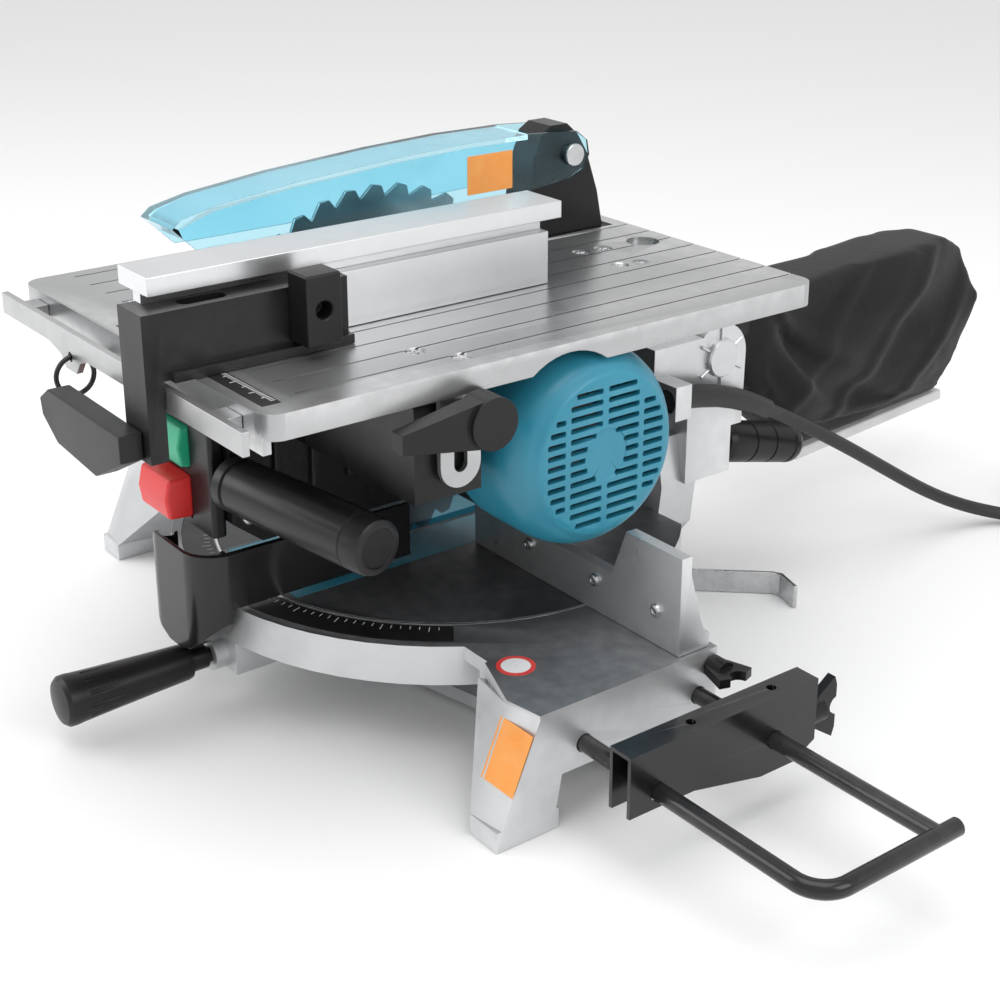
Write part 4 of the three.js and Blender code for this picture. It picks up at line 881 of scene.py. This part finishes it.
SLOT_HIGH = 0.0034
SLOT_DEEP = 0.016             # half of it stands clear of the end face
SHORTEST = 0.0045             # a slot that would be shorter is left out
ROW = 0.0066
FACE_CLEAR = 0.0455           # the radius that the slots stay within
BLANK = 0.0150                # the radius of the plain disc in the middle
COLUMNS = ((-0.043, -0.0300), (-0.0265, -0.0030), (0.0010, 0.0245), (0.0280, 0.0430))
slots = []
for row in range(-6, 7):
    z = row * ROW
    reach = math.sqrt(max(0.0, FACE_CLEAR ** 2 - z ** 2))
    blank = math.sqrt(max(0.0, BLANK ** 2 - z ** 2))
    for left, right in COLUMNS:
        left, right = max(left, -reach), min(right, reach)
        if blank and right < 0.001:
            right = min(right, -blank)
        if blank and left > -0.004:
            left = max(left, blank)
        if blank and left < 0 < right or right - left < SHORTEST:
            continue
        slots.append(cuboid((MOTOR_X + motor_deep, motor_y + (left + right) / 2, motor_z + z),
                            (SLOT_DEEP, right - left, SLOT_HIGH)))
carve(motor, bevelled(joined(slots), 0.0011, 2))

BRUSH_X = MITRE_X + 0.168
for side, node in ((1, "brush_cap_top"), (-1, "brush_cap_bottom")):
    well = turned("brush_well", Vector((BRUSH_X, motor_y, motor_z + side * (MOTOR_R - 0.011))), (0, 0, side),
                  ((0, 0.0085), (0.014, 0.0085)), 40)
    carve(motor, well)
only(motor)
bpy.ops.object.shade_smooth_by_angle(angle=math.radians(30))
fit(motor, "head", "teal_plastic", teal_moulding, "motor_housing")
for side, node in ((1, "brush_cap_top"), (-1, "brush_cap_bottom")):
    rim = turned("brush_rim" + node[9:], Vector((BRUSH_X, motor_y, motor_z + side * (MOTOR_R - 0.0032))),
                 (0, 0, side), ((0, 0.0112), (0.0030, 0.0112), (0.0036, 0.0106), (0.0036, 0.0090),
                                (0.0006, 0.0086)), 40)
    fit(rim, "head", "teal_plastic", teal_moulding)
    cap_start = Vector((BRUSH_X, motor_y, motor_z + side * (MOTOR_R - 0.0120)))
    cap = turned(node + "_screwed", cap_start, (0, 0, side),
                 ((0, 0.0078), (0.0070, 0.0078), (0.0082, 0.0068), (0.0082, 0.0006)), 32)
    cap_end = cap_start + Vector((0, 0, side * 0.0082))
    half_groove = Vector((0.006, 0.0008, 0.0014))
    carve(cap, block("cap_groove", cap_end - half_groove, cap_end + half_groove, 0.0001, 1))
    fit(cap, "head", "black_plastic", black_moulding, node)

winding = surface("winding_copper", (0.40, 0.17, 0.07), (0.28, 0.11, 0.05), (0.6, 0.3, 0.15),
                  0.4, 0.8, 700, 60, 0.0002)
for node, name, body, slot_name, look in (
    ("motor_field", "field_stack", "head", "steel", zinc),
    ("rotor_bearing", "rear_race", "head", "steel", zinc),
    ("spindle_bearing", "spindle_race", "head", "steel", zinc),
    ("armature", "rotor_core", "rotor", "copper", winding),
    ("cooling_fan", "fan_wheel", "rotor", "white_plastic", white_moulding),
    ("driven_gear", "spindle_gear", "spindle", "steel", zinc),
    ("spindle", "spindle_shaft", "spindle", "steel", zinc),
    ("inner_flange", "back_flange", "spindle", "steel", zinc),
    ("outer_flange", "front_flange", "spindle", "steel", zinc),
    ("spindle_nut", "blade_nut", "spindle", "steel", zinc),
):
    fair(node, name, 0.0004, 1, body, slot_name, look)

# ---------- saw blade ----------
# A steel disc ground in fine rings, with forty teeth and a hardened tip on each.

blade_steel = surface("blade_steel", (0.46, 0.47, 0.48), (0.34, 0.35, 0.36), (0.8, 0.8, 0.8),
                      0.26, 0.98, 500, 20, 0.00005)
fair("saw_blade", "toothed_disc", 0.0002, 1, "spindle", "steel", blade_steel)

# ---------- top guard ----------
# A long shell of clear blue plastic that hinges on the riving bracket behind the blade.


def clear_look():
    look = bpy.data.materials.new("clear_blue")
    look.use_nodes = True
    nodes, links = look.node_tree.nodes, look.node_tree.links
    shader = nodes["Principled BSDF"]
    skin = nodes.new("ShaderNodeGroup")
    skin.node_tree = SKIN
    dial(skin, Grain_Scale=60, Blotch_Scale=12)
    tone = nodes.new("ShaderNodeMix")
    tone.data_type = "RGBA"
    dial(tone, A=(0.50, 0.84, 0.95, 1), B=(0.58, 0.89, 0.98, 1))
    links.new(skin.outputs["Tone"], tone.inputs["Factor"])
    links.new(tone.outputs["Result"], shader.inputs["Base Color"])
    bump = nodes.new("ShaderNodeBump")
    dial(bump, Strength=0.2, Distance=0.0004)
    links.new(skin.outputs["Grain"], bump.inputs["Height"])
    links.new(bump.outputs["Normal"], shader.inputs["Normal"])
    dial(shader, Roughness=0.06, Transmission_Weight=1.0, IOR=1.3)
    return look


fair("top_guard", "guard_shell", 0.0012, 3, "guard", "clear_guard", clear_look())
fair("riving_bracket", "guard_bracket", 0.0020, 3, "head", "black_metal", case_paint)
fair("guard_pivot_screw", "guard_screw", 0.0008, 2, "head", "steel", zinc)
guard_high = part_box("top_guard")[1]
orange_print = surface("orange_print", (0.90, 0.30, 0.02), (0.82, 0.26, 0.02), (0.95, 0.5, 0.2),
                       0.45, 0, 900, 50, 0.00003)
tag = block("guard_tag", Vector((guard_high.x - 0.0001, MITRE_Y + 0.002, 0.3065)),
            Vector((guard_high.x + 0.0003, MITRE_Y + 0.038, 0.3315)), 0.0001, 1)
fit(tag, "guard", "red_plastic", orange_print)

# ---------- upper table ----------
# A milled aluminium plate with a turned-down rim. Fine grooves run along the feed, screws are sunk in it,
# and a slot lets the blade through.


def milled_look(name, light, dark, rough):
    look = surface(name, light, dark, (0.92, 0.92, 0.93), rough, 0.9, 900, 6, 0.00004)
    nodes, links = look.node_tree.nodes, look.node_tree.links
    place = nodes.new("ShaderNodeTexCoord")
    drawn = nodes.new("ShaderNodeMapping")
    dial(drawn, Scale=(1, 0.02, 1))
    links.new(place.outputs["Object"], drawn.inputs["Vector"])
    lines = nodes.new("ShaderNodeTexNoise")
    dial(lines, Scale=1400)
    links.new(drawn.outputs["Vector"], lines.inputs["Vector"])
    brushed = nodes.new("ShaderNodeBump")
    dial(brushed, Strength=0.25, Distance=0.00006)
    links.new(lines.outputs["Fac"], brushed.inputs["Height"])
    links.new(nodes["Bump"].outputs["Normal"], brushed.inputs["Normal"])
    links.new(brushed.outputs["Normal"], nodes["Principled BSDF"].inputs["Normal"])
    return look


milled_top = milled_look("milled_top", (0.50, 0.505, 0.51), (0.40, 0.405, 0.41), 0.30)
table_low, table_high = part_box("upper_table")
table = from_solid("upper_table", "table_plate", 0.0016, 3)
GROOVE_PITCH = 0.022
GROOVE_WIDE = 0.0013
GROOVE_TOOL = 0.0024          # the cutter's height; half of it is the groove's depth
groove_start = table_low.y + 0.030
groove_long = table_high.y + 0.004 - groove_start
grooves = []
x = MITRE_X + 0.020
while x < table_high.x - 0.004:
    grooves.append(x)
    x += GROOVE_PITCH
x = MITRE_X - 0.024
while x > table_low.x + 0.008:
    grooves.append(x)
    x -= GROOVE_PITCH
carve(table, joined([cuboid((x, groove_start + groove_long / 2, table_high.z),
                            (GROOVE_WIDE, groove_long, GROOVE_TOOL)) for x in grooves]))
SUNK = ((0.156, -0.133), (0.178, -0.118), (0.056, 0.067), (0.057, 0.085), (0.094, 0.067), (0.097, 0.082),
        (-0.060, 0.100), (-0.060, -0.160))
SEAT_DEEP = 0.0022
for x, y in SUNK:
    carve(table, turned("screw_seat", at(x, y, table_high.z - SEAT_DEEP), (0, 0, 1),
                        ((0, 0.0036), (0.0032, 0.0072)), 32))
even_normals(table, 30)
fit(table, "table", "milled", milled_top, "upper_table")
# painted shade: faces sunk 0.4 to 1.6 mm below the top, the floors of the grooves, take the dark deck finish
# to stand in for the shade inside the grooves
table.data.materials.append(dark_deck)
for face in table.data.polygons:
    depth = table_high.z - face.center.z
    if 0.0004 < depth < 0.0016 and face.area > 0.00004 and face.normal.z > 0.9:
        face.material_index = 1
for number, (x, y) in enumerate(SUNK, 1):
    sunk = turned(f"table_screw_{number}", at(x, y, table_high.z - SEAT_DEEP), (0, 0, 1),
                  ((0, 0.0033), (0.0014, 0.0048), (0.0015, 0.0046), (0.0015, 0.0006)), 28)
    cross = [block("cross", at(x, y, table_high.z - 0.0017) - Vector(half),
                   at(x, y, table_high.z + 0.0006) + Vector(half), 0.0001, 1)
             for half in ((0.0032, 0.0006, 0), (0.0006, 0.0032, 0))]
    carve(sunk, *cross)
    fit(sunk, "table", "steel", zinc)
fair("fence_rule", "front_rule", 0.0001, 1, "table", "black_metal", black_print)
rule_low, rule_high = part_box("fence_rule")
ticks = []
number = 0
x = rule_low.x + 0.004
while x < rule_high.x - 0.003:
    length = 0.0062 if number % 10 == 0 else 0.0046 if number % 5 == 0 else 0.0030
    ticks.append((Vector((x, rule_high.y - 0.0006 - length / 2, rule_high.z)), length, 0.0004, 90))
    x += 0.002
    number += 1
fit(strokes("front_rule_lines", ticks), "table", "white_plastic", white_print)

# ---------- table fittings ----------
# The slotted plate and two posts guide the table up and down. A bar along its front edge guides the rip
# fence, and a wire ring hangs from it.

for node, name, slot_name, look, width in (
    ("slotted_bracket", "height_plate", "milled", milled_top, 0.0006),
    ("table_guide_1", "guide_post_1", "steel", zinc, 0.0008),
    ("table_guide_2", "guide_post_2", "steel", zinc, 0.0008),
    ("front_rail", "fence_bar", "milled", milled_top, 0.0006),
):
    fair(node, name, width, 2, "table", slot_name, look)
ring_low, ring_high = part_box("rail_ring")
RING_WIRE = 0.0015
deselect()
bpy.ops.mesh.primitive_torus_add(
    major_radius=(ring_high.z - ring_low.z) / 2 - RING_WIRE, minor_radius=RING_WIRE, major_segments=48,
    minor_segments=12, location=(0, 0, 0), rotation=(0, 0, 0))
ring = bpy.context.object
ring.name = "wire_ring"
ring.data.transform(Matrix.Rotation(math.pi / 2, 4, "Y"))
ring.data.transform(Matrix.Translation((ring_low + ring_high) / 2))
only(ring)
bpy.ops.object.shade_smooth()
fit(ring, "table", "black_metal", powder_coat, "rail_ring")

# ---------- table lever ----------
# A black moulded wing that clamps the table's slotted plate against the arm.

fair("table_lever", "clamp_wing", 0.0030, 4, "table_lever", "black_plastic", black_moulding)
fair("table_lever_washer", "clamp_washer", 0.0004, 2, "head", "steel", zinc)

# ---------- rip fence ----------
# An extruded aluminium profile held square by a black moulded head. A lever under the head clamps it to
# the front bar.

bright_extrusion = milled_look("bright_extrusion", (0.78, 0.79, 0.80), (0.70, 0.71, 0.72), 0.30)
fair("fence_extrusion", "fence_profile", 0.0005, 2, "rip_fence", "milled", bright_extrusion)
fair("fence_head", "fence_bracket", 0.0016, 3, "rip_fence", "black_plastic", black_moulding)
fair("fence_clamp_block", "fence_block", 0.0016, 3, "rip_fence", "black_plastic", black_moulding)
fair("fence_lever", "fence_clamp", 0.0024, 4, "fence_lever", "black_plastic", black_moulding)

# ---------- base label ----------
# A plain orange patch on the slope of the right front leg, with nothing printed on it.

leg_patch = block("leg_patch", Vector((-0.0145, -0.0185, -0.0002)), Vector((0.0145, 0.0185, 0.0004)),
                  0.0002, 1)
FOOT_Y, FOOT_Z = -0.148, 0.012
TOP_Y, TOP_Z = -0.122, 0.074
slope = math.atan2(TOP_Z - FOOT_Z, TOP_Y - FOOT_Y)
leg_patch.data.transform(Matrix.Rotation(slope, 4, "X"))
leg_patch.data.transform(Matrix.Translation(at(0.2365, (FOOT_Y + TOP_Y) / 2 + 0.0035, 0.050)))
fit(leg_patch, "base", "red_plastic", orange_print)
